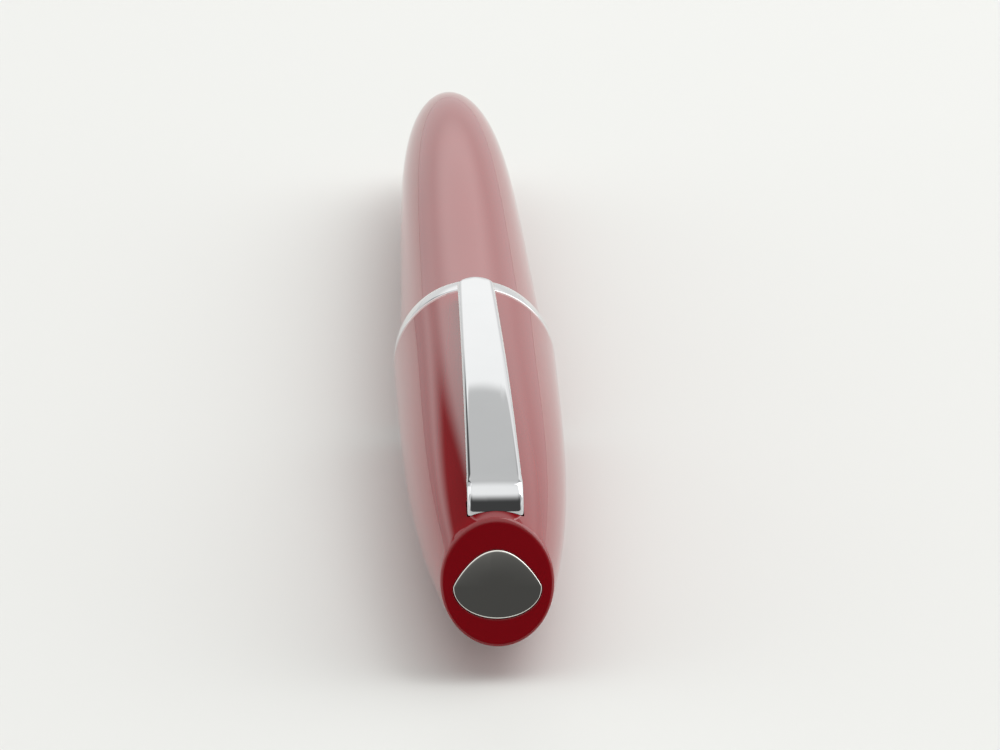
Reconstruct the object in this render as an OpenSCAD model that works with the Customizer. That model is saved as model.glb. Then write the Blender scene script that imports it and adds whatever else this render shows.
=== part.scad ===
// Fountain pen with a slanted crown, a sprung clip and a piston converter.
// The pen lies along Y with its clip on top: the crown points to -Y, the barrel's end to +Y.
// Places along the pen are written s, in millimetres from the middle of the crown's face.

/* [Cap] */
// Length of the cap from the middle of its crown to the chrome ring
cap_l = 57.2; // [56:0.1:72]
// Diameter at the cap's mouth, the widest place on the pen
lip_d = 14; // [13.4:0.1:17]
// Diameter of the cap at its crown
crown_d = 9; // [8.8:0.1:11]
// How far over the mouth's diameter the outline leans as it leaves the crown
cap_fullness = 0.22; // [-0.4:0.02:0.6]
// How far under the mouth's diameter the outline leans as it comes to the mouth
cap_waist = 0.33; // [-0.2:0.01:0.6]
// Slant of the crown's face away from square, in degrees
crown_tilt = 29.6; // [10:0.1:32]
// Wall of the cap at its mouth
cap_wall = 1; // [0.7:0.05:1.3]
// Length of the chrome ring round the cap's mouth
ring_l = 3.34; // [2:0.02:5]
// How far the chrome ring's far edge is drawn in, on the radius
ring_taper = 0.37; // [0.1:0.01:0.45]
// Length of the chrome ring's sleeve inside the cap
ring_sleeve_l = 3.6; // [2:0.1:5]

/* [Crown medallion] */
// Width of the medallion
medal_w = 7.06; // [4:0.02:7.4]
// Height of the medallion's peak over the pen's axis, measured up the crown's face
medal_peak = 3.05; // [2:0.05:3.4]
// Depth of the medallion's round foot under the axis
medal_foot = 2.49; // [1.5:0.01:3]
// How the medallion's shoulders fall away from its peak: 1 gives an ellipse, more is straighter
medal_shoulder = 2.2; // [1:0.1:3]
// Depth the medallion is let into the crown
medal_depth = 0.7; // [0.4:0.05:1]
// How far the medallion stands proud of the crown
medal_proud = 0.12; // [0.05:0.01:0.3]

/* [Clip] */
// Length of the clip from its root to its free tip
clip_l = 51.3; // [40:0.1:56]
// Width of the clip at its root
clip_root_w = 4.5; // [4:0.1:5.2]
// Width of the clip at its tip
clip_tip_w = 3.1; // [2.4:0.1:4]
// Thickness of the clip's arm
clip_t = 0.9; // [0.6:0.05:1.2]
// Height of the clip's top over the cap, at its root
clip_root_up = 1.6; // [1.4:0.02:2]
// Height of the clip's top over the cap's mouth, at its highest place
clip_arch_up = 1.98; // [1.8:0.02:2.6]
// Height of the clip's top over the cap's mouth, at its tip
clip_tip_up = 1.66; // [1.5:0.02:2]
// Share of the clip's length at which its top is highest
clip_arch_at = 0.62; // [0.5:0.01:0.8]
// Diameter of the clip's hinge pin
clip_pin_d = 1; // [0.8:0.05:1.2]
// Wire of the clip's coil spring
spring_wire = 0.3; // [0.2:0.02:0.4]
// Turns of the clip's coil spring
spring_turns = 4; // [3:1:6]

/* [Barrel] */
// Length of the barrel from its mouth to its end
barrel_l = 77.4; // [77:0.1:100]
// How much smaller the barrel is than the cap's mouth, on the radius
barrel_step = 0.564; // [0.5:0.01:0.6]
// How fast the barrel narrows from its mouth
barrel_taper = 2.54; // [2:0.01:2.8]
// How much of that narrowing the barrel's middle fills out again
barrel_fill = 2.12; // [1.8:0.01:2.4]
// How blunt the barrel's end is
barrel_nose = 3.8; // [3.4:0.1:6]
// Wall of the barrel
barrel_wall = 0.9; // [0.7:0.05:1.1]
// Length of the threaded bush in the barrel's mouth
bush_l = 9.9; // [8:0.1:12]
// Wall of the threaded bush
bush_wall = 0.55; // [0.4:0.05:0.7]

/* [Section and nib] */
// Length of the section from its front to the barrel's mouth
section_l = 21.1; // [20:0.1:24]
// Diameter of the section at its front
section_front_d = 9; // [8.4:0.1:9.6]
// Length of the threaded part of the collar
thread_l = 8.5; // [6:0.1:9]
// Pitch of the barrel's thread
thread_pitch = 0.9; // [0.7:0.05:1.2]
// Depth of the barrel's thread
thread_depth = 0.28; // [0.2:0.02:0.4]
// Wall of the threaded collar
collar_wall = 1.15; // [0.9:0.05:1.3]
// Diameter of the nib unit's housing
nib_unit_d = 6.6; // [6:0.1:7]
// Length of the nib in front of its housing
nib_l = 20.6; // [18:0.1:21]
// Width of the nib across its shoulders
nib_w = 6.9; // [5.5:0.1:7.4]
// Thickness of the nib's sheet
nib_t = 0.3; // [0.2:0.02:0.4]
// Diameter of the nipple that the converter pushes onto
nipple_d = 2.5; // [2.2:0.1:2.8]
// Diameter of the sealing ring's own section
seal_wire = 0.84; // [0.6:0.02:0.9]

/* [Converter] */
// Length of the converter's tank
tank_l = 41.2; // [38:0.1:44]
// Wall of the converter's tank
tank_wall = 0.65; // [0.5:0.05:0.9]
// Length of the converter's metal sleeve
sleeve_l = 14; // [12:0.1:16]
// Length of the knob that turns the piston
knob_l = 18.8; // [15:0.1:20]
// Diameter of the knob
knob_d = 6.4; // [5.6:0.1:6.5]
// Diameter of the piston rod
rod_d = 2.4; // [2:0.1:2.8]
// Length of the piston rod behind its seal
rod_l = 26.3; // [24:0.1:26.4]
// Length of the piston's seal
seal_l = 5; // [4:0.1:6]

/* [Hidden] */
$fn = 96;

lacquer = [0.36, 0.01, 0.05];
chrome = [0.84, 0.85, 0.87];
steel = [0.7, 0.71, 0.73];
brass = [0.78, 0.62, 0.32];
black_plastic = [0.06, 0.06, 0.07];
clear_plastic = [0.8, 0.88, 0.92, 0.5];
rubber = [0.1, 0.1, 0.1];

// Clearances: a press or screw fit inside one piece, a running fit, and a seat between two faces
snug = 0.02;
running = 0.05;
seat_gap = 0.03;

// Radii that follow from one another, from the cap inwards
lip_r = lip_d / 2;
cap_bore_r = lip_r - cap_wall;
flange_r = cap_bore_r - 0.1;
grip_back_r = flange_r - 0.45;
grip_front_r = section_front_d / 2;
barrel_mouth_r = lip_r - barrel_step;
bush_r = barrel_mouth_r - barrel_wall - 0.04;
bush_bore_r = bush_r - bush_wall;
thread_r = bush_bore_r - running;
collar_bore_r = thread_r - collar_wall;
spigot_r = thread_r - 0.3;
tank_r = collar_bore_r - 0.3;
chamber_r = tank_r - tank_wall;
sleeve_r = tank_r + 0.3;
inner_cap_bore_r = grip_front_r + running;
inner_cap_r = inner_cap_bore_r + 0.8;
cap_mid_r = inner_cap_r + snug;
housing_r = nib_unit_d / 2;
housing_bore_r = housing_r - 0.4;
nipple_r = nipple_d / 2;

// Places along the pen
ring_end_s = cap_l + ring_l;
mouth_s = ring_end_s + 2 * seat_gap;
barrel_end_s = mouth_s + barrel_l;
section_s = mouth_s - section_l;
front_ring_l = 1.2;
flange_l = 1.1;
mouth_ring_l = 0.6;
flange_s = mouth_s - mouth_ring_l - flange_l;
spigot_l = 6.4;
housing_flange_l = 0.9;
housing_l = 10.4;
housing_end_s = section_s + housing_l;
nipple_base_l = 0.8;
nipple_l = 7.1;
tank_s = housing_end_s + nipple_base_l + 0.1;
tank_end_s = tank_s + tank_l;
chamber_s = tank_s + nipple_l + 0.2;
sleeve_s = tank_end_s - 8;
sleeve_end_s = sleeve_s + sleeve_l;
knob_s = sleeve_end_s + 0.1;
seal_s = tank_end_s - seal_l - 2.5;
inner_cap_s = section_s - 24;
inner_cap_l = 25.8;
cap_mid_s = section_s + 0.9;
clutch_s = section_s + 15.1;
clutch_l = 1.4;
clutch_groove_r = grip_back_r - 0.35;

// Crown end of the cap
crown_r = crown_d / 2;
cap_end_s = 4.6;
cap_end_r = 4.3;

// Clip hinge, measured from the pen's axis
pivot_s = 6;
pivot_h = 2.8;
clip_pin_l = 5.2;
clip_s = 4.2;
post_l = 3;
clip_seat_h = 4;
lever_w = 3;
lever_foot_h = 0.2;
lever_arm_t = 0.8;
lever_end_s = 12;
spring_s = 10.4;
spring_r = 0.95;
spring_roof_h = 3.3;
carrier_s = cap_end_s + snug;
carrier_end_s = 13.2;
carrier_r = cap_end_r - snug;
slot_gap = 0.28;

// Outline of the cap: a smooth curve from the crown to the mouth
function blend4(t, a, b, c, d) = a * pow(1 - t, 3) + 3 * b * t * pow(1 - t, 2)
                               + 3 * c * t * t * (1 - t) + d * pow(t, 3);
function cap_r(s) = blend4(s / cap_l, crown_r,
    lip_r + cap_fullness / 2, lip_r - cap_waist / 2, lip_r);

// Outline of the barrel: a slow taper closed by a blunt nose
function barrel_t(s) = (s - cap_l) / (barrel_end_s - cap_l);
function barrel_body(t) = barrel_mouth_r - barrel_taper * t + barrel_fill * t * t;
function barrel_r(s) = barrel_body(barrel_t(s)) * sqrt(max(0, 1 - pow(barrel_t(s), barrel_nose)));

// Lowest place on the crown's rim, found by stepping down the slanted face
function crown_reach(steps) = steps == 0 ? 0 : tan(crown_tilt) * cap_r(-crown_reach(steps - 1));
crown_low_s = -crown_reach(8);
middle_s = (crown_low_s + barrel_end_s) / 2;

// Top of the clip over the axis: one arch from the root and a flatter one down to the tip
clip_end_s = clip_s + clip_l;
clip_bend_l = 2.6;
clip_bend_h = 2.3;
clip_start_s = clip_s + clip_bend_l;
clip_high_s = clip_s + clip_arch_at * clip_l;
clip_root_h = cap_r(clip_start_s) + clip_root_up;
clip_high_h = lip_r + clip_arch_up;
function clip_top(s) = s < clip_high_s
    ? clip_high_h - (clip_high_h - clip_root_h) * pow((clip_high_s - s) / (clip_high_s - clip_start_s), 2)
    : clip_high_h - (clip_arch_up - clip_tip_up) * pow((s - clip_high_s) / (clip_end_s - clip_high_s), 2);
function clip_bottom(s) = clip_top(s) - clip_t;
function clip_half_w(s) = (clip_root_w + (clip_tip_w - clip_root_w)
    * (s - clip_s) / clip_l) / 2;

// Outline of the nib: narrow tip, full shoulders, a waist at the housing
nib_back_s = section_s + 6.5;
nib_front_s = section_s - housing_flange_l - nib_l;
nib_r = housing_bore_r - snug;
function nib_t_at(s) = min(1, (s - nib_front_s) / nib_l);
function smooth(t) = t * t * (3 - 2 * t);
function nib_half_w(s) = let (t = nib_t_at(s), shoulder = 0.74)
    t < shoulder ? 0.35 + (nib_w / 2 - 0.35) * pow(sin(90 * t / shoulder), 1.35)
                 : nib_w / 2 - (nib_w / 2 - 2.6) * smooth((t - shoulder) / (1 - shoulder));
function nib_curve_r(s) = let (t = nib_t_at(s))
    nib_r + 1.5 * sin(180 * pow(t, 1.2)) + 0.4 * (1 - t);
function nib_top(s) = nib_r - 1.9 * (1 - nib_t_at(s));
function nib_point(s, side, lift) = let (r = nib_curve_r(s), half = asin(nib_half_w(s) / r),
    a = half * side) [(r + lift) * sin(a), s, nib_top(s) - r + (r + lift) * cos(a)];

// Places in the pen's own directions: x across, s along, z up from the axis
module upright() translate([0, -middle_s, lip_r]) children();

// Round pieces: an outline of [radius, s] points turned about the pen's axis
module turned(outline) upright() rotate([-90, 0, 0]) rotate_extrude() polygon(outline);
module tube(r, bore, s1, s2) turned([[bore, s1], [r, s1], [r, s2], [bore, s2]]);
module rod(r, s1, s2) turned([[0, s1], [r, s1], [r, s2], [0, s2]]);

// Flat pieces of the clip: an outline of [s, height] points given a width across the pen
module across(width) upright() rotate([90, 0, 90])
    translate([0, 0, -width / 2]) linear_extrude(width) children();

// The crown's slanted face: x across, z up the slope, -y out of the face
module on_crown() upright() rotate([-crown_tilt, 0, 0]) children();

// The medallion's edge: sloping shoulders over a round foot
function medal_edge(a, grow) = a < 180
    ? [(medal_w / 2 + grow) * cos(a),
       (medal_peak + grow) * (0.3 * sin(a) + 0.7 * pow(sin(a), medal_shoulder))]
    : [(medal_w / 2 + grow) * cos(a), (medal_foot + grow) * sin(a)];
module medal_plate(grow, depth, proud) on_crown() translate([0, depth, 0]) rotate([90, 0, 0])
    linear_extrude(depth + proud) polygon([for (a = [0:5:355]) medal_edge(a, grow)]);

// A round wire swept along a list of points, closed at both ends
function unit(v) = v / norm(v);
function wire_ring(p, q, r, sides) = let (dir = unit(q - p), side = unit(cross(dir, [0, 0.02, 1])),
    up = cross(side, dir)) [for (k = [0:sides - 1])
        p + r * cos(360 * k / sides) * side + r * sin(360 * k / sides) * up];
module wire(path, r, sides) {
    last = len(path) - 1;
    points = [for (i = [0:last]) let (a = path[max(0, i - 1)], b = path[min(last, i + 1)])
        each wire_ring(path[i], path[i] + b - a, r, sides)];
    faces = concat([[for (k = [0:sides - 1]) k]],
        [for (i = [0:last - 1], k = [0:sides - 1]) let (n = (k + 1) % sides)
            [i * sides + k, (i + 1) * sides + k, (i + 1) * sides + n, i * sides + n]],
        [[for (k = [sides - 1:-1:0]) last * sides + k]]);
    polyhedron(points, faces, convexity = 8);
}

// ---- Cap ----

// The slot that the clip's root stands in, wide at the surface and narrow below it
module clip_slot() {
    across(clip_root_w + 0.2) translate([clip_s - slot_gap, clip_seat_h - slot_gap])
        square([post_l + slot_gap + 0.15, lip_r]);
}

module cap_shell() color(lacquer) difference() {
    turned(concat([[0, -5]], [for (i = [0:40]) let (s = -5 + (cap_l + 5) * i / 40)
        [cap_r(s), s]], [[0, cap_l]]));
    on_crown() translate([-lip_d, -lip_d, -lip_d]) cube([2 * lip_d, lip_d, 2 * lip_d]);
    medal_plate(snug, medal_depth, 1);
    turned([[0, cap_end_s], [cap_end_r, cap_end_s], [cap_end_r, inner_cap_s],
            [cap_mid_r, inner_cap_s], [cap_mid_r, cap_mid_s], [cap_bore_r, cap_mid_s],
            [cap_bore_r, cap_l - ring_sleeve_l], [cap_bore_r + 0.4, cap_l - ring_sleeve_l],
            [cap_bore_r + 0.4, cap_l + 1], [0, cap_l + 1]]);
    clip_slot();
}

module cap_ring() color(chrome) turned(concat(
    [[cap_bore_r, cap_l - ring_sleeve_l], [cap_bore_r + 0.4 - snug, cap_l - ring_sleeve_l],
     [cap_bore_r + 0.4 - snug, cap_l]],
    [for (a = [0:10:90]) [lip_r - ring_taper * (1 - cos(a)), cap_l + ring_l * sin(a)]],
    [[cap_bore_r, ring_end_s]]));

module inner_cap() color(black_plastic) turned([
    [0, inner_cap_s], [inner_cap_r, inner_cap_s], [inner_cap_r, inner_cap_s + inner_cap_l],
    [inner_cap_bore_r, inner_cap_s + inner_cap_l], [inner_cap_bore_r, inner_cap_s + 1.4],
    [0, inner_cap_s + 1.4]]);

module crown_medallion() color(chrome) medal_plate(0, medal_depth, medal_proud);

// The block that holds the clip's pin and gives its spring a roof
module clip_carrier() color(brass) difference() {
    rod(carrier_r, carrier_s, carrier_end_s);
    clip_slot();
    across(lever_w + 0.3) polygon([
        [carrier_s - 1, lever_foot_h - 0.4], [lever_end_s + 0.5, lever_foot_h - 0.4],
        [lever_end_s + 0.5, spring_roof_h], [clip_s + post_l + 0.15, spring_roof_h],
        [clip_s + post_l + 0.15, lip_r], [carrier_s - 1, lip_r]]);
    across(lip_d) translate([pivot_s, pivot_h]) circle(d = clip_pin_d);
}

module clip_pin() color(steel)
    across(clip_pin_l) translate([pivot_s, pivot_h]) circle(d = clip_pin_d - 0.02);

spring_foot_h = lever_foot_h + lever_arm_t + seat_gap;
spring_top_h = spring_roof_h - seat_gap;
module clip_spring() color(steel) upright() {
    rise = spring_top_h - spring_foot_h - spring_wire;
    steps = spring_turns * 14;
    wire([for (i = [0:steps]) let (a = 360 * i / 14)
        [spring_r * cos(a), spring_s + spring_r * sin(a),
         spring_foot_h + spring_wire / 2 + rise * i / steps]], spring_wire / 2, 8);
}

// ---- Clip ----

module clip_side() {
    arm_steps = 24;
    root_h = clip_bottom(clip_s + post_l);
    arm = [for (i = [0:arm_steps]) clip_start_s + (clip_end_s - clip_start_s) * i / arm_steps];
    polygon(concat(
        [[clip_s, clip_seat_h]],
        [for (a = [0:15:90]) [clip_start_s - clip_bend_l * cos(a),
            clip_root_h - clip_bend_h * (1 - sin(a))]],
        [for (s = arm) if (s > clip_start_s) [s, clip_top(s)]],
        [[clip_end_s, clip_bottom(clip_end_s)]],
        [for (a = [0:30:180]) [clip_end_s - 1.7 + 1.3 * cos(a),
            clip_bottom(clip_end_s) - clip_foot() * sin(a)]],
        [for (i = [arm_steps:-1:0]) let (s = arm[i]) if (s < clip_end_s - 3.2
            && s > clip_s + post_l + 0.8) [s, clip_bottom(s)]],
        [[clip_s + post_l + 0.6, root_h - 0.1], [clip_s + post_l, root_h - 0.7],
         [clip_s + post_l, clip_seat_h]]));
}
// The foot under the clip's tip reaches down to the cap with a little air
function clip_foot() = clip_bottom(clip_end_s) - lip_r - 0.06;

module clip_plan() {
    tip_r = clip_tip_w / 2;
    upright() linear_extrude(2 * lip_d, center = true) {
        polygon([[-clip_root_w / 2, clip_s], [clip_root_w / 2, clip_s],
                 [clip_half_w(clip_end_s - tip_r), clip_end_s - tip_r],
                 [-clip_half_w(clip_end_s - tip_r), clip_end_s - tip_r]]);
        translate([0, clip_end_s - tip_r]) circle(clip_half_w(clip_end_s - tip_r));
    }
}

module clip() color(chrome) difference() {
    union() {
        intersection() {
            across(lip_d) clip_side();
            clip_plan();
        }
        across(lever_w) polygon([
            [clip_s + 0.8, lever_foot_h], [lever_end_s, lever_foot_h],
            [lever_end_s, lever_foot_h + lever_arm_t],
            [clip_s + 2.4, lever_foot_h + lever_arm_t],
            [clip_s + 2.4, clip_seat_h + 0.1], [clip_s + 0.8, clip_seat_h + 0.1]]);
        across(lever_w) translate([pivot_s, pivot_h]) circle(1.1);
    }
    across(lip_d) translate([pivot_s, pivot_h]) circle(clip_pin_d / 2 + running);
}

// ---- Section, nib and feed ----

module clutch_ring() color(chrome) difference() {
    tube(cap_bore_r - running, clutch_groove_r + running, clutch_s + seat_gap,
         clutch_s + clutch_l - seat_gap);
    upright() translate([-0.4, clutch_s - 1, -lip_r - 1]) cube([0.8, clutch_l + 2, lip_r]);
}

function grip_r(s) = let (t = (s - section_s - 2) / (clutch_s - section_s - 2))
    grip_front_r + (grip_back_r - grip_front_r) * (1 - cos(180 * min(1, max(0, t)))) / 2;

module section_grip() color(black_plastic) turned(concat(
    [[housing_r + snug, section_s + front_ring_l], [grip_front_r, section_s + front_ring_l]],
    [for (i = [0:14]) let (s = section_s + 2 + (clutch_s - section_s - 2) * i / 14)
        [grip_r(s), s]],
    [[clutch_groove_r, clutch_s], [clutch_groove_r, clutch_s + clutch_l],
     [grip_back_r, clutch_s + clutch_l], [grip_back_r, flange_s],
     [spigot_r + snug, flange_s], [spigot_r + snug, flange_s - spigot_l],
     [collar_bore_r, flange_s - spigot_l], [collar_bore_r, housing_end_s],
     [housing_r + snug, housing_end_s]]));

module section_front_ring() color(chrome)
    tube(grip_front_r, housing_r + snug, section_s, section_s + front_ring_l);

// The ring that the collar clamps against the grip: the cap's mouth and the barrel pass outside it
module section_back_ring() color(chrome)
    tube(flange_r, spigot_r + snug, flange_s, flange_s + flange_l);

thread_s = mouth_s + 1.8;
thread_ridges = floor((thread_l - 2.4) / thread_pitch);
module thread_collar() color(brass) turned(concat(
    [[collar_bore_r, flange_s - spigot_l], [spigot_r, flange_s - spigot_l],
     [spigot_r, flange_s + flange_l], [thread_r, flange_s + flange_l],
     [thread_r, seal_mid_s - seal_wire / 2 - 0.1], [seal_groove_r, seal_mid_s - seal_wire / 2 - 0.1],
     [seal_groove_r, seal_mid_s + seal_wire / 2 + 0.1], [thread_r, seal_mid_s + seal_wire / 2 + 0.1],
     [thread_r, thread_s]],
    [for (i = [0:thread_ridges - 1]) let (s = thread_s + i * thread_pitch)
        each [[thread_r - thread_depth, s + thread_pitch * 0.3],
              [thread_r - thread_depth, s + thread_pitch * 0.5],
              [thread_r, s + thread_pitch * 0.8], [thread_r, s + thread_pitch]]],
    [[thread_r - thread_depth, mouth_s + thread_l - 0.6], [thread_r - thread_depth, mouth_s + thread_l],
     [collar_bore_r, mouth_s + thread_l]]));

module nib_housing() color(black_plastic) turned([
    [housing_bore_r, section_s - housing_flange_l], [housing_r + 0.65, section_s - housing_flange_l],
    [housing_r + 0.65, section_s], [housing_r, section_s], [housing_r, housing_end_s],
    [0.6, housing_end_s], [0.6, housing_end_s - 0.9], [housing_bore_r, housing_end_s - 0.9]]);

// The nib's sheet: rows of points across its outer and its inner face
module nib_sheet() {
    rows = 30;
    cols = 10;
    step = (nib_back_s - nib_front_s) / rows;
    span = cols + 1;
    skin = (rows + 1) * span;
    points = [for (lift = [0, -nib_t], i = [0:rows], j = [0:cols])
        nib_point(nib_front_s + i * step, 2 * j / cols - 1, lift)];
    function at(layer, i, j) = layer * skin + i * span + j;
    faces = concat(
        [for (i = [0:rows - 1], j = [0:cols - 1])
            each [[at(0, i, j), at(0, i + 1, j), at(0, i + 1, j + 1), at(0, i, j + 1)],
                  [at(1, i, j + 1), at(1, i + 1, j + 1), at(1, i + 1, j), at(1, i, j)]]],
        [for (i = [0:rows - 1])
            each [[at(0, i + 1, 0), at(0, i, 0), at(1, i, 0), at(1, i + 1, 0)],
                  [at(0, i, cols), at(0, i + 1, cols), at(1, i + 1, cols), at(1, i, cols)]]],
        [for (j = [0:cols - 1])
            each [[at(0, 0, j), at(0, 0, j + 1), at(1, 0, j + 1), at(1, 0, j)],
                  [at(0, rows, j + 1), at(0, rows, j), at(1, rows, j), at(1, rows, j + 1)]]]);
    polyhedron(points, faces, convexity = 6);
}

breather_s = nib_front_s + 0.56 * nib_l;
tipping_r = 0.42;
module nib() color(steel) upright() difference() {
    nib_sheet();
    translate([-0.05, nib_front_s - 1, -lip_r]) cube([0.1, breather_s - nib_front_s + 1, lip_d]);
    translate([0, breather_s, 0]) cylinder(r = 0.6, h = lip_r);
}

// The ball sits against the front edge of the sheet, with room for the weld between them
module nib_tipping() color(steel) upright()
    translate([0, nib_front_s - tipping_r - snug, nib_top(nib_front_s) - nib_t / 2 - 0.1])
        sphere(tipping_r);

feed_front_s = nib_front_s + 3.5;
feed_r = nib_r - nib_t - 0.06;
module feed() color(black_plastic) difference() {
    turned([[0, feed_front_s], [0.75, feed_front_s], [0.84, feed_front_s + 0.3],
            [feed_r, section_s - housing_flange_l + 0.3], [feed_r, housing_end_s - 1],
            [0, housing_end_s - 1]]);
    for (i = [0:9]) upright() translate([-lip_r, section_s - housing_flange_l - 1.4 - 0.9 * i, -lip_r])
        cube([lip_d, 0.4, lip_r - 0.5]);
}

module ink_nipple() color(black_plastic) turned([
    [0.4, housing_end_s], [housing_r + 0.2, housing_end_s],
    [housing_r + 0.2, housing_end_s + nipple_base_l], [nipple_r, housing_end_s + nipple_base_l],
    [nipple_r, housing_end_s + nipple_l], [0.4, housing_end_s + nipple_l]]);

// ---- Barrel ----

seal_mid_s = mouth_s + 0.75;
seal_groove_r = thread_r - seal_wire + 0.08;
module sealing_ring() color(rubber) upright() rotate([-90, 0, 0])
    translate([0, 0, seal_mid_s]) rotate_extrude()
        translate([seal_groove_r + snug + seal_wire / 2, 0]) circle(seal_wire / 2, $fn = 32);

bush_relief_r = seal_groove_r + snug + seal_wire + 0.08;
module mouth_ring() color(chrome)
    tube(flange_r, bush_relief_r, mouth_s - mouth_ring_l + seat_gap, mouth_s - seat_gap);

module barrel_shell() color(lacquer) {
    nose_s = barrel_end_s - 0.1 * barrel_l;
    turned(concat(
        [[bush_r + snug, mouth_s]],
        [for (i = [0:44]) let (s = mouth_s + barrel_l * (1 - pow(1 - i / 44, 2)))
            [barrel_r(s), s]],
        [[0, nose_s]],
        [for (i = [16:-1:0]) let (s = mouth_s + bush_l + (nose_s - mouth_s - bush_l) * i / 16)
            [barrel_r(s) - barrel_wall, s]],
        [[bush_r + snug, mouth_s + bush_l]]));
}

module barrel_bush() color(brass) turned([
    [bush_relief_r, mouth_s], [bush_r, mouth_s], [bush_r, mouth_s + bush_l],
    [bush_bore_r, mouth_s + bush_l], [bush_bore_r, mouth_s + 1.6], [bush_relief_r, mouth_s + 1.6]]);

// ---- Converter ----

module converter_tank() color(clear_plastic) turned([
    [nipple_r + running, tank_s], [tank_r, tank_s], [tank_r, tank_end_s],
    [chamber_r, tank_end_s], [chamber_r, chamber_s + 0.8], [nipple_r + running, chamber_s]]);

neck_r = tank_r - 0.9;
module converter_sleeve() color(chrome) turned([
    [tank_r + snug, sleeve_s], [sleeve_r, sleeve_s], [sleeve_r, sleeve_end_s],
    [neck_r + running, sleeve_end_s], [neck_r + running, sleeve_end_s - 1],
    [tank_r + snug, sleeve_end_s - 1]]);

// The knob's flange is caught in the sleeve, and its bore takes the rod
knob_flange_r = tank_r - running;
knob_bore_r = rod_d / 2 + running;
module converter_knob() color(black_plastic) turned([
    [knob_bore_r, tank_end_s + 0.1], [knob_flange_r, tank_end_s + 0.1],
    [knob_flange_r, sleeve_end_s - 1.1], [neck_r, sleeve_end_s - 1.1], [neck_r, knob_s],
    [knob_d / 2, knob_s], [knob_d / 2, knob_s + knob_l - 0.5], [knob_d / 2 - 0.5, knob_s + knob_l],
    [0, knob_s + knob_l], [0, knob_s + knob_l - 0.9], [knob_bore_r, knob_s + knob_l - 0.9]]);

module piston_seal() color(rubber) turned([
    [0, seal_s], [chamber_r - 0.5, seal_s], [chamber_r - running, seal_s + 0.5],
    [chamber_r - running, seal_s + 1.4], [chamber_r - 0.4, seal_s + 1.9],
    [chamber_r - 0.4, seal_s + seal_l - 1.9], [chamber_r - running, seal_s + seal_l - 1.4],
    [chamber_r - running, seal_s + seal_l], [0, seal_s + seal_l]]);

module piston_rod() color(black_plastic)
    rod(rod_d / 2, seal_s + seal_l, seal_s + seal_l + rod_l);

cap_shell();
cap_ring();
inner_cap();
crown_medallion();
clip_carrier();
clip_pin();
clip_spring();
clip();
clutch_ring();
section_grip();
section_front_ring();
section_back_ring();
thread_collar();
nib_housing();
nib();
nib_tipping();
feed();
ink_nipple();
sealing_ring();
mouth_ring();
barrel_shell();
barrel_bush();
converter_tank();
converter_sleeve();
converter_knob();
piston_seal();
piston_rod();
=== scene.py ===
# %% [markdown]
# # A fountain pen, built around its measured frame
# The pen lies on a pale floor with its slanted crown towards us and its clip on top.
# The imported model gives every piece's place, so this lesson only has to make good
# surfaces and good finishes. Nothing here moves or resizes what the model says.

# %% Load the frame
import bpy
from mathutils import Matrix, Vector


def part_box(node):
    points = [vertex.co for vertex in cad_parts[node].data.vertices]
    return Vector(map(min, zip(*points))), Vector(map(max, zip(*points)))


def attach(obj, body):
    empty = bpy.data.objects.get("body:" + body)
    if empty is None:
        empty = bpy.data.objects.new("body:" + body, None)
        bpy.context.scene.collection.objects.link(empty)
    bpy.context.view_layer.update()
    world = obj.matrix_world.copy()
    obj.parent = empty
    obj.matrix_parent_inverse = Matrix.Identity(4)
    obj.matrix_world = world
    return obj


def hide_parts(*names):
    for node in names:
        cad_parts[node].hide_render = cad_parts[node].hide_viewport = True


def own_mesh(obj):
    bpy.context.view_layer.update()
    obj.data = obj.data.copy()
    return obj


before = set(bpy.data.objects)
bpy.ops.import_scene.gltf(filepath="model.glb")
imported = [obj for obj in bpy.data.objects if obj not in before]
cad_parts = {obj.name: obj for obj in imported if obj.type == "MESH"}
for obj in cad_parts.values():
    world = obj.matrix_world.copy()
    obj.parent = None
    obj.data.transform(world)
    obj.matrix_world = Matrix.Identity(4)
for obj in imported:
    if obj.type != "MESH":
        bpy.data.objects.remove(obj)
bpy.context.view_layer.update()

# %% [markdown]
# Most pieces of a pen are turned on a lathe, so they are described by a radius and a
# place along the pen. That place is called s here, in millimetres from the middle of
# the crown's face. One function turns such a description into a point in metres.

# %% Places and sizes read from the frame
import math
import bmesh
import bpy
from mathutils import Matrix, Vector

MM = 0.001
SNUG, RUNNING = 0.02, 0.05  # press fit and running fit, as in the model
ring_low, ring_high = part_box("cap_ring")
_, cap_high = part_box("cap_shell")
AXIS_Z = (ring_low[2] + ring_high[2]) / 2
CAP_L = 57.2
CROWN_Y = cap_high[1] - CAP_L * MM


def place(x, s, up):
    """A point across the pen, along it and above its axis, all in millimetres."""
    return Vector((x * MM, CROWN_Y + s * MM, AXIS_Z + up * MM))


def span(node):
    """Where a node starts and ends along the pen, and its largest radius."""
    low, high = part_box(node)
    radius = (high[0] - low[0]) / 2 / MM
    return (low[1] - CROWN_Y) / MM, (high[1] - CROWN_Y) / MM, radius


RING_S, RING_END_S, LIP_R = span("cap_ring")
MOUTH_S, BARREL_END_S, _ = span("barrel_shell")
print(f"axis {AXIS_Z / MM:.2f} mm up, mouth at {MOUTH_S:.2f} mm, end at {BARREL_END_S:.2f} mm")

# %% [markdown]
# The cap and the barrel each have one smooth outline. The cap's is a curve through four
# radii, like a bent spline rod. The barrel's is a slow taper closed by a blunt nose.
# The crown is the cap's outline cut by a slanted plane.

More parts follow.
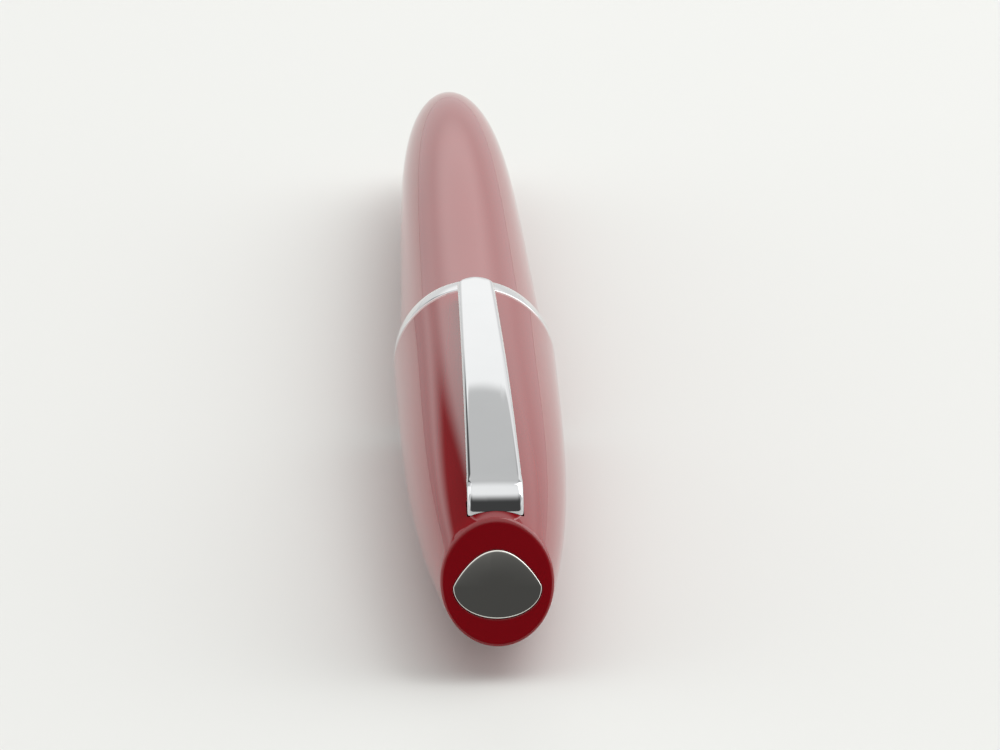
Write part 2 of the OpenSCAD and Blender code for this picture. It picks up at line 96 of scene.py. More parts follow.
# %% Outlines of the cap and the barrel
CROWN_R = 4.5
CAP_FULL_R = LIP_R + 0.11
CAP_WAIST_R = LIP_R - 0.165
CROWN_TILT = math.radians(29.6)
BARREL_MOUTH_R = LIP_R - 0.564
BARREL_TAPER, BARREL_FILL, BARREL_NOSE = 2.54, 2.12, 3.8


def cap_r(s):
    t = s / CAP_L
    u = 1 - t
    return CROWN_R * u**3 + 3 * CAP_FULL_R * t * u * u + 3 * CAP_WAIST_R * t * t * u + LIP_R * t**3


def barrel_r(s):
    t = (s - CAP_L) / (BARREL_END_S - CAP_L)
    body = BARREL_MOUTH_R - BARREL_TAPER * t + BARREL_FILL * t * t
    return body * math.sqrt(max(0.0, 1 - t**BARREL_NOSE))


print(f"cap radius half way {cap_r(CAP_L / 2):.2f} mm, barrel at its middle {barrel_r(99):.2f} mm")

# %% [markdown]
# Helpers for meshes. A loft joins rows of points with quads, and a lathe is a loft of
# circles. Corners of a turned outline get a small arc, as every real edge has, because
# a polished edge without one never catches the light.

# %% Mesh helpers


def rounded(corners):
    """Corners are (radius, s) or (radius, s, fillet); those with a fillet become a short arc."""
    points = []
    for i, corner in enumerate(corners):
        here = Vector(corner[:2])
        fillet = corner[2] if len(corner) > 2 else 0
        if not fillet:
            points.append(here)
            continue
        before = Vector(corners[i - 1][:2]) - here
        after = Vector(corners[(i + 1) % len(corners)][:2]) - here
        reach = min(fillet, before.length * 0.45, after.length * 0.45)
        first = here + before.normalized() * reach
        last = here + after.normalized() * reach
        for k in range(5):
            t = k / 4
            points.append(first * (1 - t) ** 2 + here * 2 * t * (1 - t) + last * t * t)
    return points


def loft(bm, rows, around=True, ends=False, caps=()):
    """Joins rows of points with quads. A row of one point is a pole; caps closes those rows."""
    made = [[bm.verts.new(p) for p in row] for row in rows]
    pairs = list(zip(made, made[1:])) + ([(made[-1], made[0])] if ends else [])
    for a, b in pairs:
        n = max(len(a), len(b))
        for j in range(n if around else n - 1):
            k = (j + 1) % n
            if len(a) == 1 and len(b) == 1:
                continue
            if len(a) == 1:
                bm.faces.new((a[0], b[k], b[j]))
            elif len(b) == 1:
                bm.faces.new((a[j], a[k], b[0]))
            else:
                bm.faces.new((a[j], a[k], b[k], b[j]))
    for index in caps:
        bm.faces.new(made[index])


def circle(count):
    """Evenly spaced angles, once round."""
    return [math.tau * j / count for j in range(count)]


def turn(bm, outline, columns=128, centre=(0, 0)):
    """Turns an outline of (radius, s) points about the pen's axis into a closed skin."""
    rows = []
    for r, s in outline:
        if r < 1e-6:
            rows.append([place(centre[0], s, centre[1])])
            continue
        rows.append([place(centre[0] + r * math.sin(a), s, centre[1] + r * math.cos(a))
                     for a in circle(columns)])
    open_ended = len(rows[0]) == 1 or len(rows[-1]) == 1
    loft(bm, rows, ends=not open_ended)


def linked(name, bm, smooth=True):
    """A new object with the faces of a bmesh, which it frees."""
    mesh = bpy.data.meshes.new(name)
    bm.to_mesh(mesh)
    bm.free()
    mesh.polygons.foreach_set("use_smooth", [smooth] * len(mesh.polygons))
    obj = bpy.data.objects.new(name, mesh)
    bpy.context.scene.collection.objects.link(obj)
    return obj


def to_object(name, bm, smooth=True):
    bmesh.ops.remove_doubles(bm, verts=bm.verts, dist=1e-8)
    bmesh.ops.recalc_face_normals(bm, faces=bm.faces)
    return linked(name, bm, smooth)


def bake(obj):
    """Applies an object's modifiers, so that what is left is a plain mesh."""
    graph = bpy.context.evaluated_depsgraph_get()
    mesh = bpy.data.meshes.new_from_object(
        obj.evaluated_get(graph), preserve_all_data_layers=True, depsgraph=graph)
    obj.modifiers.clear()
    obj.data = mesh


def even_normals(obj):
    """Lets flat faces keep their shading next to small fillets."""
    fix = obj.modifiers.new("even", "WEIGHTED_NORMAL")
    fix.keep_sharp = True
    bake(obj)


def finish_piece(obj, body, material, *nodes):
    """Paints a finished mesh, hangs it on its body's empty and hides the nodes it stands for."""
    obj.data.materials.clear()
    obj.data.materials.append(material)
    obj.data.polygons.foreach_set("material_index", [0] * len(obj.data.polygons))
    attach(obj, body)
    if nodes:
        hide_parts(*nodes)
    print(f"{obj.name}: {len(obj.data.polygons)} faces on {body}")
    return obj


def even_piece(name, bm, body, material, *nodes):
    """A finished piece whose flat faces shade flat beside their fillets."""
    obj = to_object(name, bm)
    even_normals(obj)
    return finish_piece(obj, body, material, *nodes)


def turned_piece(name, outline, body, material, node, columns=128):
    bm = bmesh.new()
    turn(bm, outline, columns)
    return even_piece(name, bm, body, material, node)


# %% [markdown]
# ## Finishes
# Several finishes share the same small faults: hairline scratches from handling, and a
# little dust. Each is a node group, built once, that gives a mask or a height and is
# placed in a material with its own values. The shader itself stays in the material.

# %% Node helpers


def add(tree, kind, inputs=None, **settings):
    """Adds a node, sets its options, and fills inputs with values or links."""
    node = tree.nodes.new(kind)
    for key, value in settings.items():
        setattr(node, key, value)
    for key, value in (inputs or {}).items():
        if isinstance(value, bpy.types.NodeSocket):
            tree.links.new(value, node.inputs[key])
        else:
            node.inputs[key].default_value = value
    return node


def math_node(tree, operation, a, b=0.0, c=0.0, clamp=False):
    return add(tree, "ShaderNodeMath", {0: a, 1: b, 2: c}, operation=operation,
               use_clamp=clamp).outputs[0]


def new_group(name, inputs, outputs):
    tree = bpy.data.node_groups.new(name, "ShaderNodeTree")
    for label, kind, value in inputs:
        socket = tree.interface.new_socket(label, in_out="INPUT", socket_type=kind)
        if value is not None:
            socket.default_value = value
    for label, kind in outputs:
        tree.interface.new_socket(label, in_out="OUTPUT", socket_type=kind)
    return tree, tree.nodes.new("NodeGroupInput"), tree.nodes.new("NodeGroupOutput")


# %% Shared effects: scratches, turning marks, dust and gentle waves
FLOAT, VECTOR = "NodeSocketFloat", "NodeSocketVector"


def hairline_scratches():
    """Fine crossed lines: two stretched noises, cut to their thin crests."""
    tree, given, out = new_group(
        "hairline_scratches",
        [("Vector", VECTOR, None), ("Scale", FLOAT, 900.0), ("Rarity", FLOAT, 0.62)],
        [("Mask", FLOAT)])
    masks = []
    for angle, stretch in ((0.4, 14.0), (-0.9, 20.0)):
        turned = add(tree, "ShaderNodeMapping",
                     {"Vector": given.outputs["Vector"], "Rotation": (0.3, angle, angle),
                      "Scale": (1.0, 1.0 / stretch, 1.0)})
        noise = add(tree, "ShaderNodeTexNoise",
                    {"Vector": turned.outputs[0], "Scale": given.outputs["Scale"], "Detail": 3.0})
        crest = math_node(tree, "SUBTRACT", noise.outputs[0], given.outputs["Rarity"])
        masks.append(math_node(tree, "MULTIPLY", crest, 9.0, clamp=True))
    tree.links.new(math_node(tree, "MAXIMUM", masks[0], masks[1]), out.inputs["Mask"])
    return tree


def turning_marks():
    """Rings that a lathe tool leaves: noise that changes only along the pen."""
    tree, given, out = new_group(
        "turning_marks", [("Vector", VECTOR, None), ("Scale", FLOAT, 9000.0)], [("Height", FLOAT)])
    parts = add(tree, "ShaderNodeSeparateXYZ", {0: given.outputs["Vector"]})
    noise = add(tree, "ShaderNodeTexNoise", {"W": parts.outputs["Y"], "Scale": given.outputs["Scale"],
                                             "Detail": 4.0}, noise_dimensions="1D")
    tree.links.new(noise.outputs[0], out.inputs["Height"])
    return tree


def settled_dust():
    """Sparse specks on faces that look up."""
    tree, given, out = new_group(
        "settled_dust", [("Vector", VECTOR, None), ("Normal", VECTOR, None),
                         ("Scale", FLOAT, 1600.0), ("Amount", FLOAT, 0.1)], [("Mask", FLOAT)])
    cells = add(tree, "ShaderNodeTexVoronoi",
                {"Vector": given.outputs["Vector"], "Scale": given.outputs["Scale"]})
    speck = math_node(tree, "LESS_THAN", cells.outputs["Distance"], given.outputs["Amount"])
    chance = add(tree, "ShaderNodeSeparateColor", {0: cells.outputs["Color"]})
    kept = math_node(tree, "GREATER_THAN", chance.outputs[0], 0.9)
    up = add(tree, "ShaderNodeSeparateXYZ", {0: given.outputs["Normal"]})
    facing = math_node(tree, "MULTIPLY", up.outputs["Z"], 1.2, clamp=True)
    both = math_node(tree, "MULTIPLY", speck, kept)
    tree.links.new(math_node(tree, "MULTIPLY", both, facing), out.inputs["Mask"])
    return tree


def gentle_waves():
    """Slow waviness of a sprayed or polished skin, as a height."""
    tree, given, out = new_group(
        "gentle_waves", [("Vector", VECTOR, None), ("Scale", FLOAT, 260.0)], [("Height", FLOAT)])
    noise = add(tree, "ShaderNodeTexNoise", {"Vector": given.outputs["Vector"],
                                             "Scale": given.outputs["Scale"], "Detail": 1.0})
    tree.links.new(noise.outputs[0], out.inputs["Height"])
    return tree


GROUPS = {make.__name__: make() for make in
          (hairline_scratches, turning_marks, settled_dust, gentle_waves)}
print("shared effects:", ", ".join(GROUPS))

# %% [markdown]
# Each finish starts from the same base: a Principled shader, the object's coordinates
# and the groups above. The values that are the same all over sit on the shader itself.
# Only what varies over the surface comes from nodes.

# %% Material base


class Finish:
    """A material with its shader, coordinates and shortcuts to the shared effects."""

    def __init__(self, name, **values):
        self.material = bpy.data.materials.new(name)
        self.material.use_nodes = True
        self.tree = self.material.node_tree
        self.shader = self.tree.nodes["Principled BSDF"]
        for key, value in values.items():
            self.shader.inputs[key.replace("_", " ")].default_value = value
        self.coords = add(self.tree, "ShaderNodeTexCoord").outputs["Object"]
        self.normal = add(self.tree, "ShaderNodeNewGeometry").outputs["Normal"]

    def effect(self, group, **inputs):
        values = {"Vector": self.coords}
        values.update({key.replace("_", " "): value for key, value in inputs.items()})
        return add(self.tree, "ShaderNodeGroup", values, node_tree=GROUPS[group]).outputs[0]

    def noise(self, scale, detail=2.0):
        return add(self.tree, "ShaderNodeTexNoise",
                   {"Vector": self.coords, "Scale": scale, "Detail": detail}).outputs[0]

    def put(self, socket, value):
        self.tree.links.new(value, self.shader.inputs[socket])

    def colour(self, mask, first, second):
        """Lets the base colour run from one to another with a mask."""
        mix = add(self.tree, "ShaderNodeMix", {0: mask, 6: (*first, 1), 7: (*second, 1)},
                  data_type="RGBA")
        self.put("Base Color", mix.outputs[2])

    def roughness(self, mask, low, high):
        span = add(self.tree, "ShaderNodeMapRange", {"Value": mask, "To Min": low, "To Max": high})
        self.put("Roughness", span.outputs[0])

    def bump(self, height, distance):
        node = add(self.tree, "ShaderNodeBump", {"Height": height, "Distance": distance,
                                                 "Strength": 1.0})
        self.put("Normal", node.outputs[0])


# %% [markdown]
# The cap and barrel are brass tubes under many coats of burgundy lacquer, sanded and
# polished. The colour is deep, so most of what the eye sees is the clear coat's
# reflection. A faint cloud in the colour, a slow waviness and hairlines from handling
# keep it from looking like a plastic shell.

# %% Burgundy lacquer


def burgundy_lacquer():
    f = Finish("burgundy_lacquer", Coat_Weight=1.0, Coat_Roughness=0.02, Coat_IOR=1.52,
               Specular_IOR_Level=0.0)
    cloud = f.noise(90.0, 3.0)
    f.colour(cloud, (0.245, 0.0006, 0.0045), (0.285, 0.0010, 0.0065))
    scratches = f.effect("hairline_scratches", Scale=700.0, Rarity=0.66)
    dust = f.effect("settled_dust", Normal=f.normal, Scale=900.0, Amount=0.05)
    marks = math_node(f.tree, "MAXIMUM", scratches, dust)
    f.roughness(marks, 0.16, 0.34)
    f.bump(f.effect("gentle_waves", Scale=140.0), 0.000004)
    return f.material


LACQUER = burgundy_lacquer()
print("made", LACQUER.name)

# %% [markdown]
# The clip, the ring and the medallion are chrome over polished brass. Chrome is nearly a
# mirror: its own colour is a slightly blue grey, and its faults are hairlines that
# follow the polishing.

# %% Chrome, steel and brass


def polished_chrome():
    f = Finish("polished_chrome", Metallic=1.0)
    haze = f.noise(220.0)
    f.colour(haze, (0.61, 0.62, 0.635), (0.65, 0.66, 0.675))
    scratches = f.effect("hairline_scratches", Scale=1100.0, Rarity=0.64)
    f.roughness(scratches, 0.035, 0.12)
    f.bump(f.effect("gentle_waves", Scale=190.0), 0.000003)
    return f.material


def dark_mirror():
    """The crown's medallion: a black chrome mirror with a bright cut edge."""
    f = Finish("medallion_mirror", Metallic=1.0)
    haze = f.noise(300.0)
    f.colour(haze, (0.76, 0.75, 0.71), (0.82, 0.81, 0.77))
    scratches = f.effect("hairline_scratches", Scale=1300.0, Rarity=0.66)
    f.roughness(scratches, 0.05, 0.14)
    return f.material


def nib_steel():
    f = Finish("nib_steel", Metallic=1.0)
    grain = f.effect("turning_marks", Scale=5200.0)
    f.colour(f.noise(500.0), (0.66, 0.65, 0.63), (0.76, 0.75, 0.73))
    f.roughness(f.effect("hairline_scratches", Scale=1500.0), 0.16, 0.30)
    f.bump(grain, 0.000002)
    return f.material


def turned_brass():
    f = Finish("turned_brass", Metallic=1.0)
    marks = f.effect("turning_marks", Scale=7000.0)
    f.colour(f.noise(350.0, 4.0), (0.60, 0.42, 0.17), (0.74, 0.56, 0.27))
    f.roughness(marks, 0.22, 0.42)
    f.bump(marks, 0.000008)
    return f.material


CHROME, MEDAL, STEEL, BRASS = polished_chrome(), dark_mirror(), nib_steel(), turned_brass()
print("made", CHROME.name, MEDAL.name, STEEL.name, BRASS.name)

# %% [markdown]
# The grip, feed and inner cap are black moulded plastic: polished outside by the mould,
# slightly rippled, a touch worn. The converter's tank is clear, and the seals are matt
# rubber with a dusty bloom.

# %% Plastics and rubber


def black_plastic():
    f = Finish("black_plastic", IOR=1.49)
    wear = f.effect("hairline_scratches", Scale=800.0, Rarity=0.6)
    f.colour(f.noise(160.0, 3.0), (0.010, 0.010, 0.011), (0.018, 0.018, 0.019))
    f.roughness(wear, 0.20, 0.42)
    f.bump(f.effect("gentle_waves", Scale=320.0), 0.000006)
    return f.material


def clear_plastic():
    f = Finish("clear_plastic", IOR=1.49, Transmission_Weight=1.0)
    f.colour(f.noise(200.0), (0.90, 0.94, 0.95), (0.97, 0.98, 0.98))
    f.roughness(f.effect("hairline_scratches", Scale=900.0), 0.03, 0.12)
    return f.material


def matt_rubber():
    f = Finish("matt_rubber", IOR=1.5)
    bloom = f.noise(900.0, 5.0)
    f.colour(bloom, (0.012, 0.012, 0.012), (0.030, 0.029, 0.028))
    f.roughness(bloom, 0.55, 0.8)
    f.bump(bloom, 0.00001)
    return f.material


BLACK, CLEAR, RUBBER = black_plastic(), clear_plastic(), matt_rubber()
print("made", BLACK.name, CLEAR.name, RUBBER.name)

# %% [markdown]
# ## The cap
# The cap is a thin turned tube whose closed end is cut on a slant and polished flat, with
# a small round edge. A boolean cut would leave long thin faces on the glossiest part,
# so the skin is lofted instead: each column runs from the medallion's recess over the
# slanted face, round its edge and along the side to the mouth, then back inside.

# %% Crown face and cap skin
MEDAL_HALF_W, MEDAL_PEAK, MEDAL_FOOT, MEDAL_SHOULDER = 3.53, 3.05, 2.49, 2.2
MEDAL_RECESS, MEDAL_AIR = 0.66, 0.03
CAP_COLUMNS = 192


def medal_outline(angle, grow=0.0):
    """The medallion's edge: straightish shoulders falling from a peak, over a round foot."""
    c, d = math.cos(angle), math.sin(angle)
    if d <= 0:
        return Vector(((MEDAL_HALF_W + grow) * c, (MEDAL_FOOT + grow) * d))
    return Vector(((MEDAL_HALF_W + grow) * c,
                   (MEDAL_PEAK + grow) * (0.3 * d + 0.7 * d**MEDAL_SHOULDER)))


def on_crown(across, up, depth=0.0):
    """A point on the slanted face, or below it."""
    return place(across, up * math.sin(CROWN_TILT) + depth * math.cos(CROWN_TILT),
                 up * math.cos(CROWN_TILT) - depth * math.sin(CROWN_TILT))


def rim_s(angle):
    """Where the slanted plane meets the cap's side, for one direction about the axis."""
    s = 0.0
    for _ in range(30):
        s = math.tan(CROWN_TILT) * cap_r(s) * math.sin(angle)
    return s


def on_side(angle, s, r=None):
    r = cap_r(s) if r is None else r
    return place(r * math.cos(angle), s, r * math.sin(angle))


def cap_skin(bm):
    edge = 0.34
    angles = circle(CAP_COLUMNS)
    rims = [rim_s(a) for a in angles]
    flat = [Vector((cap_r(s) * math.cos(a), cap_r(s) * math.sin(a) / math.cos(CROWN_TILT)))
            for a, s in zip(angles, rims)]
    # a column meets the medallion's outline where it points the same way as at the rim
    table = [(math.atan2(medal_outline(a).y, medal_outline(a).x) % math.tau, a)
             for a in circle(2880)]
    heading = [min(table, key=lambda e: abs(e[0] - math.atan2(p.y, p.x) % math.tau))[1]
               for p in flat]
    rows = [[on_crown(0, 0.2, MEDAL_RECESS)]]
    for grow, depth in ((-1.2, MEDAL_RECESS), (MEDAL_AIR, MEDAL_RECESS), (MEDAL_AIR, 0.08),
                        (MEDAL_AIR + 0.02, 0.02), (MEDAL_AIR + 0.07, 0.0)):
        rows.append([on_crown(*medal_outline(h, grow), depth) for h in heading])
    start = [medal_outline(h, MEDAL_AIR + 0.07) for h in heading]
    stop = [p - p.normalized() * edge for p in flat]
    for t in (0.06, 0.2, 0.4, 0.6, 0.8, 0.94, 1.0):
        rows.append([on_crown(*(a + (b - a) * t)) for a, b in zip(start, stop)])
    for k in range(1, 11):
        t = k / 10
        weight = 0.75
        row = []
        for a, s, p, q in zip(angles, rims, flat, stop):
            first, corner, last = on_crown(*q), on_crown(*p), on_side(a, s + edge)
            wa, wb, wc = (1 - t) ** 2, 2 * t * (1 - t) * weight, t * t
            row.append((first * wa + corner * wb + last * wc) / (wa + wb + wc))
        rows.append(row)
    steps = 84
    for i in range(1, steps + 1):
        t = i / steps
        rows.append([on_side(a, (s + edge) + (CAP_L - 0.04 - s - edge) * t)
                     for a, s in zip(angles, rims)])
    inside = rounded([(LIP_R - 0.04, CAP_L), (6.4, CAP_L), (6.4, RING_S),
                      (6.0, RING_S), (6.0, MID_BORE_S, 0.2), (MID_BORE_R, MID_BORE_S, 0.1),
                      (MID_BORE_R, END_BORE_S, 0.1), (END_BORE_R, END_BORE_S, 0.1),
                      (END_BORE_R, CAP_END_S, 0.3)])
    for r, s in inside:
        rows.append([on_side(a, s, r) for a in angles])
    rows.append([place(0, CAP_END_S, 0)])
    loft(bm, rows)


inner_s, inner_end_s, inner_r = span("inner_cap")
MID_BORE_S, MID_BORE_R = inner_end_s - 0.9, inner_r + SNUG
END_BORE_S, END_BORE_R = inner_s, span("clip_carrier")[2] + SNUG
CAP_END_S = span("clip_carrier")[0] - SNUG

# %% [markdown]
# The clip's root stands in a slot through the cap's roof. The slot is cut with a
# boolean, and afterwards the corners of the faces round it get the normals of the
# smooth outline back, so the lacquer shows no dents beside the slot.

# %% Cut the clip's slot and restore the shading
CLIP_S, CLIP_POST_L, CLIP_ROOT_W = 4.2, 3.0, 4.5
SLOT_HALF_W, NEAR_SLOT = 2.3, 3.6
SLOT = ((-SLOT_HALF_W, CLIP_S - 0.05, 3.72), (SLOT_HALF_W, CLIP_S + CLIP_POST_L + 0.15, 9.0))


def cutter_box(low, high):
    bm = bmesh.new()
    bmesh.ops.create_cube(bm, size=1)
    a, b = place(*low), place(*high)
    for v in bm.verts:
        v.co = (a + b) / 2 + Vector([c * d for c, d in zip(v.co, b - a)])
    bmesh.ops.bevel(bm, geom=[e for e in bm.edges if abs((e.verts[0].co - e.verts[1].co).z) > 1e-4],
                    offset=0.35 * MM, segments=5, affect="EDGES", profile=0.5)
    return to_object("slot_cutter", bm, smooth=False)


def side_normal(co):
    """The outward normal of the cap's outline at a point on its side."""
    x, up = co.x / MM, (co.z - AXIS_Z) / MM
    s = (co.y - CROWN_Y) / MM
    slope = (cap_r(s + 0.01) - cap_r(s - 0.01)) / 0.02
    r = math.hypot(x, up)
    return Vector((x / r, -slope, up / r)).normalized(), abs(r - cap_r(s)) < 0.004


bm = bmesh.new()
cap_skin(bm)
cap = to_object("cap_lacquered_shell", bm)
cutter = cutter_box(*SLOT)
cut = cap.modifiers.new("slot", "BOOLEAN")
cut.object, cut.operation, cut.solver = cutter, "DIFFERENCE", "EXACT"
bake(cap)
bpy.data.objects.remove(cutter)
corner_normals = [Vector(c.vector) for c in cap.data.corner_normals]
for face in cap.data.polygons:
    s_face = (face.center.y - CROWN_Y) / MM
    near_slot = (abs(face.center.x / MM) < NEAR_SLOT and 3.3 < s_face < 9
                 and face.center.z > AXIS_Z + NEAR_SLOT * MM)
    if not near_slot:
        continue
    for loop in face.loop_indices:
        co = cap.data.vertices[cap.data.loops[loop].vertex_index].co
        normal, on_outline = side_normal(co)
        corner_normals[loop] = normal if on_outline and face.normal.dot(normal) > 0.9 else face.normal
cap.data.normals_split_custom_set([tuple(n) for n in corner_normals])
finish_piece(cap, "cap", LACQUER, "cap_shell")

# %% [markdown]
# The medallion is a small polished plate let into the crown. Its face is very slightly
# domed and has a thin cut edge, which is what draws the bright line round it.

# %% Crown medallion


def medallion():
    bm = bmesh.new()
    columns = 120
    turns = circle(columns)
    rows = [[on_crown(0, 0.2, MEDAL_RECESS - 0.02)]]
    for grow, depth in ((-1.0, MEDAL_RECESS - 0.02), (-0.08, MEDAL_RECESS - 0.02),
                        (-0.02, MEDAL_RECESS - 0.08), (0, 0.0), (0, -0.03), (-0.02, -0.065),
                        (-0.06, -0.09), (-0.12, -0.105), (-0.18, -0.11)):
        rows.append([on_crown(*medal_outline(a, grow), depth) for a in turns])
    for t in (0.9, 0.8, 0.65, 0.5, 0.35, 0.2, 0.08):
        rows.append([on_crown(*(medal_outline(a, -0.18) * t), -0.11 - 0.10 * (1 - t * t))
                     for a in turns])
    rows.append([on_crown(0, 0, -0.21)])
    loft(bm, rows)
    return even_piece("crown_medallion_plate", bm, "cap", MEDAL, "crown_medallion")


medallion()

# %% [markdown]
# The ring round the cap's mouth is a turned and plated sleeve. Its outside rounds down
# to the barrel like a quarter of an ellipse, and a fine groove parts it from the lacquer.

# %% Cap ring
RING_TAPER = 0.37


def cap_ring():
    length = RING_END_S - CAP_L
    outer = []
    for k in range(25):
        a = math.radians(90 * k / 24)
        outer.append((LIP_R - RING_TAPER * (1 - math.cos(a)),
                      CAP_L + 0.03 + (length - 0.03) * math.sin(a)))
    start = [(6.0, RING_S, 0.05), (6.38, RING_S, 0.05), (6.38, CAP_L), (LIP_R - 0.09, CAP_L),
             (LIP_R - 0.03, CAP_L + 0.008)]
    outline = rounded(start) + [Vector(p) for p in outer[1:]] + rounded([(6.0, RING_END_S)])
    return turned_piece("cap_mouth_ring", outline, "cap", CHROME, "cap_ring", 192)


cap_ring()

# %% [markdown]
# ## The clip
# The clip is one stamped and plated spring arm. Its root rises out of the cap, bends
# over and runs in a low arch to a round tip. Sections are lofted along two side
# curves, the top and the underside. Each section has a crowned top and rolled edges.

# %% Clip
CLIP_L, CLIP_TIP_W, CLIP_T = 51.3, 3.1, 0.9
CLIP_END_S = CLIP_S + CLIP_L
CLIP_BEND, CLIP_DROP = 2.6, 2.3
CLIP_START_S = CLIP_S + CLIP_BEND
CLIP_HIGH_S = CLIP_S + 0.62 * CLIP_L
CLIP_ROOT_H = cap_r(CLIP_START_S) + 1.6
CLIP_HIGH_H, CLIP_TIP_H = LIP_R + 1.98, LIP_R + 1.66


def clip_top(s):
    if s < CLIP_HIGH_S:
        t = (CLIP_HIGH_S - s) / (CLIP_HIGH_S - CLIP_START_S)
        return CLIP_HIGH_H - (CLIP_HIGH_H - CLIP_ROOT_H) * t * t
    t = (s - CLIP_HIGH_S) / (CLIP_END_S - CLIP_HIGH_S)
    return CLIP_HIGH_H - (CLIP_HIGH_H - CLIP_TIP_H) * t * t


def clip_half_w(s):
    return (CLIP_ROOT_W + (CLIP_TIP_W - CLIP_ROOT_W) * (s - CLIP_S) / CLIP_L) / 2


def clip_section(top, bottom, half, crown=0.05, roll=0.48):
    """One cross-section between two points of the side view, as a closed row of points."""
    top, bottom = Vector(top), Vector(bottom)
    thick = (top - bottom).length
    along = (top - bottom) / thick
    roll = min(roll, half * 0.5)
    drop = min(roll, thick * 0.55)
    crown = crown * min(1.0, half / 1.2)
    flat = half - roll
    shape = [(flat * k / 6, -crown * (k / 6) ** 2) for k in range(-6, 7)]
    edge = [(flat + roll * math.sin(a), -crown - drop * (1 - math.cos(a)))
            for a in (math.radians(90 * k / 9) for k in range(1, 10))]
    under = 0.12
    shape += edge + [(half, -thick + under), (half - under, -thick), (0, -thick + 0.02),
                     (under - half, -thick), (-half, -thick + under)]
    shape += [(-x, h) for x, h in reversed(edge)]
    points = []
    for x, h in shape:
        at = top + along * h
        points.append(place(x, at.x, at.y))
    return points


def clip_arm():
    inner_bend = 0.5
    back_s = CLIP_S + CLIP_POST_L
    under_start = clip_top(back_s + inner_bend) - CLIP_T
    rows = []
    foot_up = 3.95
    for k in range(9):
        t = k / 8
        up = foot_up + (CLIP_ROOT_H - CLIP_DROP - foot_up) * t
        up_in = foot_up + (under_start - inner_bend - foot_up) * t
        half = CLIP_ROOT_W / 2 - 0.7 * (1 - math.sqrt(1 - (1 - t) ** 2))
        rows.append(clip_section((CLIP_S, up), (back_s, up_in), half))
    for k in range(1, 13):
        a = math.radians(90 * k / 12)
        outer = (CLIP_S + CLIP_BEND * (1 - math.cos(a)),
                 CLIP_ROOT_H - CLIP_DROP * (1 - math.sin(a)))
        inner = (back_s + inner_bend * (1 - math.cos(a)),
                 under_start - inner_bend * (1 - math.sin(a)))
        rows.append(clip_section(outer, inner, CLIP_ROOT_W / 2))
    tip_r = clip_half_w(CLIP_END_S - CLIP_TIP_W / 2)
    tip_s = CLIP_END_S - tip_r
    steps = 56
    for k in range(1, steps + 1):
        t = k / steps
        s = CLIP_START_S + (tip_s - CLIP_START_S) * t
        s_in = back_s + inner_bend + (tip_s - back_s - inner_bend) * t
        rows.append(clip_section((s, clip_top(s)), (s_in, clip_top(s_in) - CLIP_T), clip_half_w(s)))
    for k in range(1, 16):
        a = math.radians(88 * k / 15)
        s = tip_s + tip_r * math.sin(a)
        drop = 0.32 * (1 - math.sqrt(1 - (k / 15) ** 4))
        top = clip_top(s) - drop
        rows.append(clip_section((s, top), (s, clip_top(s) - CLIP_T), tip_r * math.cos(a)))
    bm = bmesh.new()
    loft(bm, rows, caps=(0, -1))
    # the foot that presses on the pocket cloth
    foot_s = tip_s - 0.6
    foot_top = clip_top(foot_s) - CLIP_T + 0.15
    depth = foot_top - LIP_R - 0.06
    foot_rows = []
    for k in range(11):
        a = math.radians(90 * k / 10)
        r = 1.15 * math.cos(a)
        up = foot_top - depth * math.sin(a)
        foot_rows.append([place(0, foot_s, up)] if k == 10 else
                         [place(r * math.cos(b), foot_s + 1.25 * r * math.sin(b), up)
                          for b in circle(40)])
    loft(bm, foot_rows, caps=(0,))
    return even_piece("pocket_clip", bm, "clip", CHROME, "clip")


clip_arm()

# %% [markdown]
# ## The barrel
# The barrel is turned from one tube and lacquered like the cap. Its nose needs close
# rings, because the radius falls off like a square root there.

# %% Barrel
BARREL_WALL = 0.9


def barrel():
    _, bush_end_s, bush_r = span("barrel_bush")
    steps = 110
    outer = []
    for i in range(steps + 1):
        s = MOUTH_S + (BARREL_END_S - MOUTH_S) * (1 - (1 - i / steps) ** 2)
        outer.append((barrel_r(s), s))
    outer[0] = (outer[0][0], MOUTH_S + 0.08)
    nose_s = BARREL_END_S - 0.1 * (BARREL_END_S - MOUTH_S)
    inner = [(barrel_r(s) - BARREL_WALL, s)
             for s in (nose_s + (bush_end_s - nose_s) * i / 24 for i in range(25))]
    outline = [(bush_r + SNUG, bush_end_s), (bush_r + SNUG, MOUTH_S + 0.03),
               (bush_r + 0.05, MOUTH_S), (outer[0][0] - 0.08, MOUTH_S),
               (outer[0][0] - 0.02, MOUTH_S + 0.02)]
    skin = [Vector(p) for p in [*outline, *outer]]
    bm = bmesh.new()
    cavity = [Vector((0, nose_s)), *[Vector(p) for p in inner]]
    turn(bm, [*cavity, *skin], 192)
    obj = to_object("barrel_lacquered_shell", bm)
    return finish_piece(obj, "barrel", LACQUER, "barrel_shell")


barrel()

# %% [markdown]
# ## Repeated details as small node programs
# Threads, springs, fins and knurls are one shape said many times. Two Geometry Nodes
# trees say them: one sweeps a wire along a helix, the other sets copies of the piece's
# own mesh in a row or a ring. Each is evaluated once and kept as a plain mesh.

# %% Node trees for helices and arrays


def geometry_tree(name, sockets):
    tree = bpy.data.node_groups.new(name, "GeometryNodeTree")
    tree.interface.new_socket("Geometry", in_out="INPUT", socket_type="NodeSocketGeometry")
    for label, kind in sockets:
        tree.interface.new_socket(label, in_out="INPUT", socket_type=kind)
    tree.interface.new_socket("Geometry", in_out="OUTPUT", socket_type="NodeSocketGeometry")
    return tree, tree.nodes.new("NodeGroupInput"), tree.nodes.new("NodeGroupOutput")


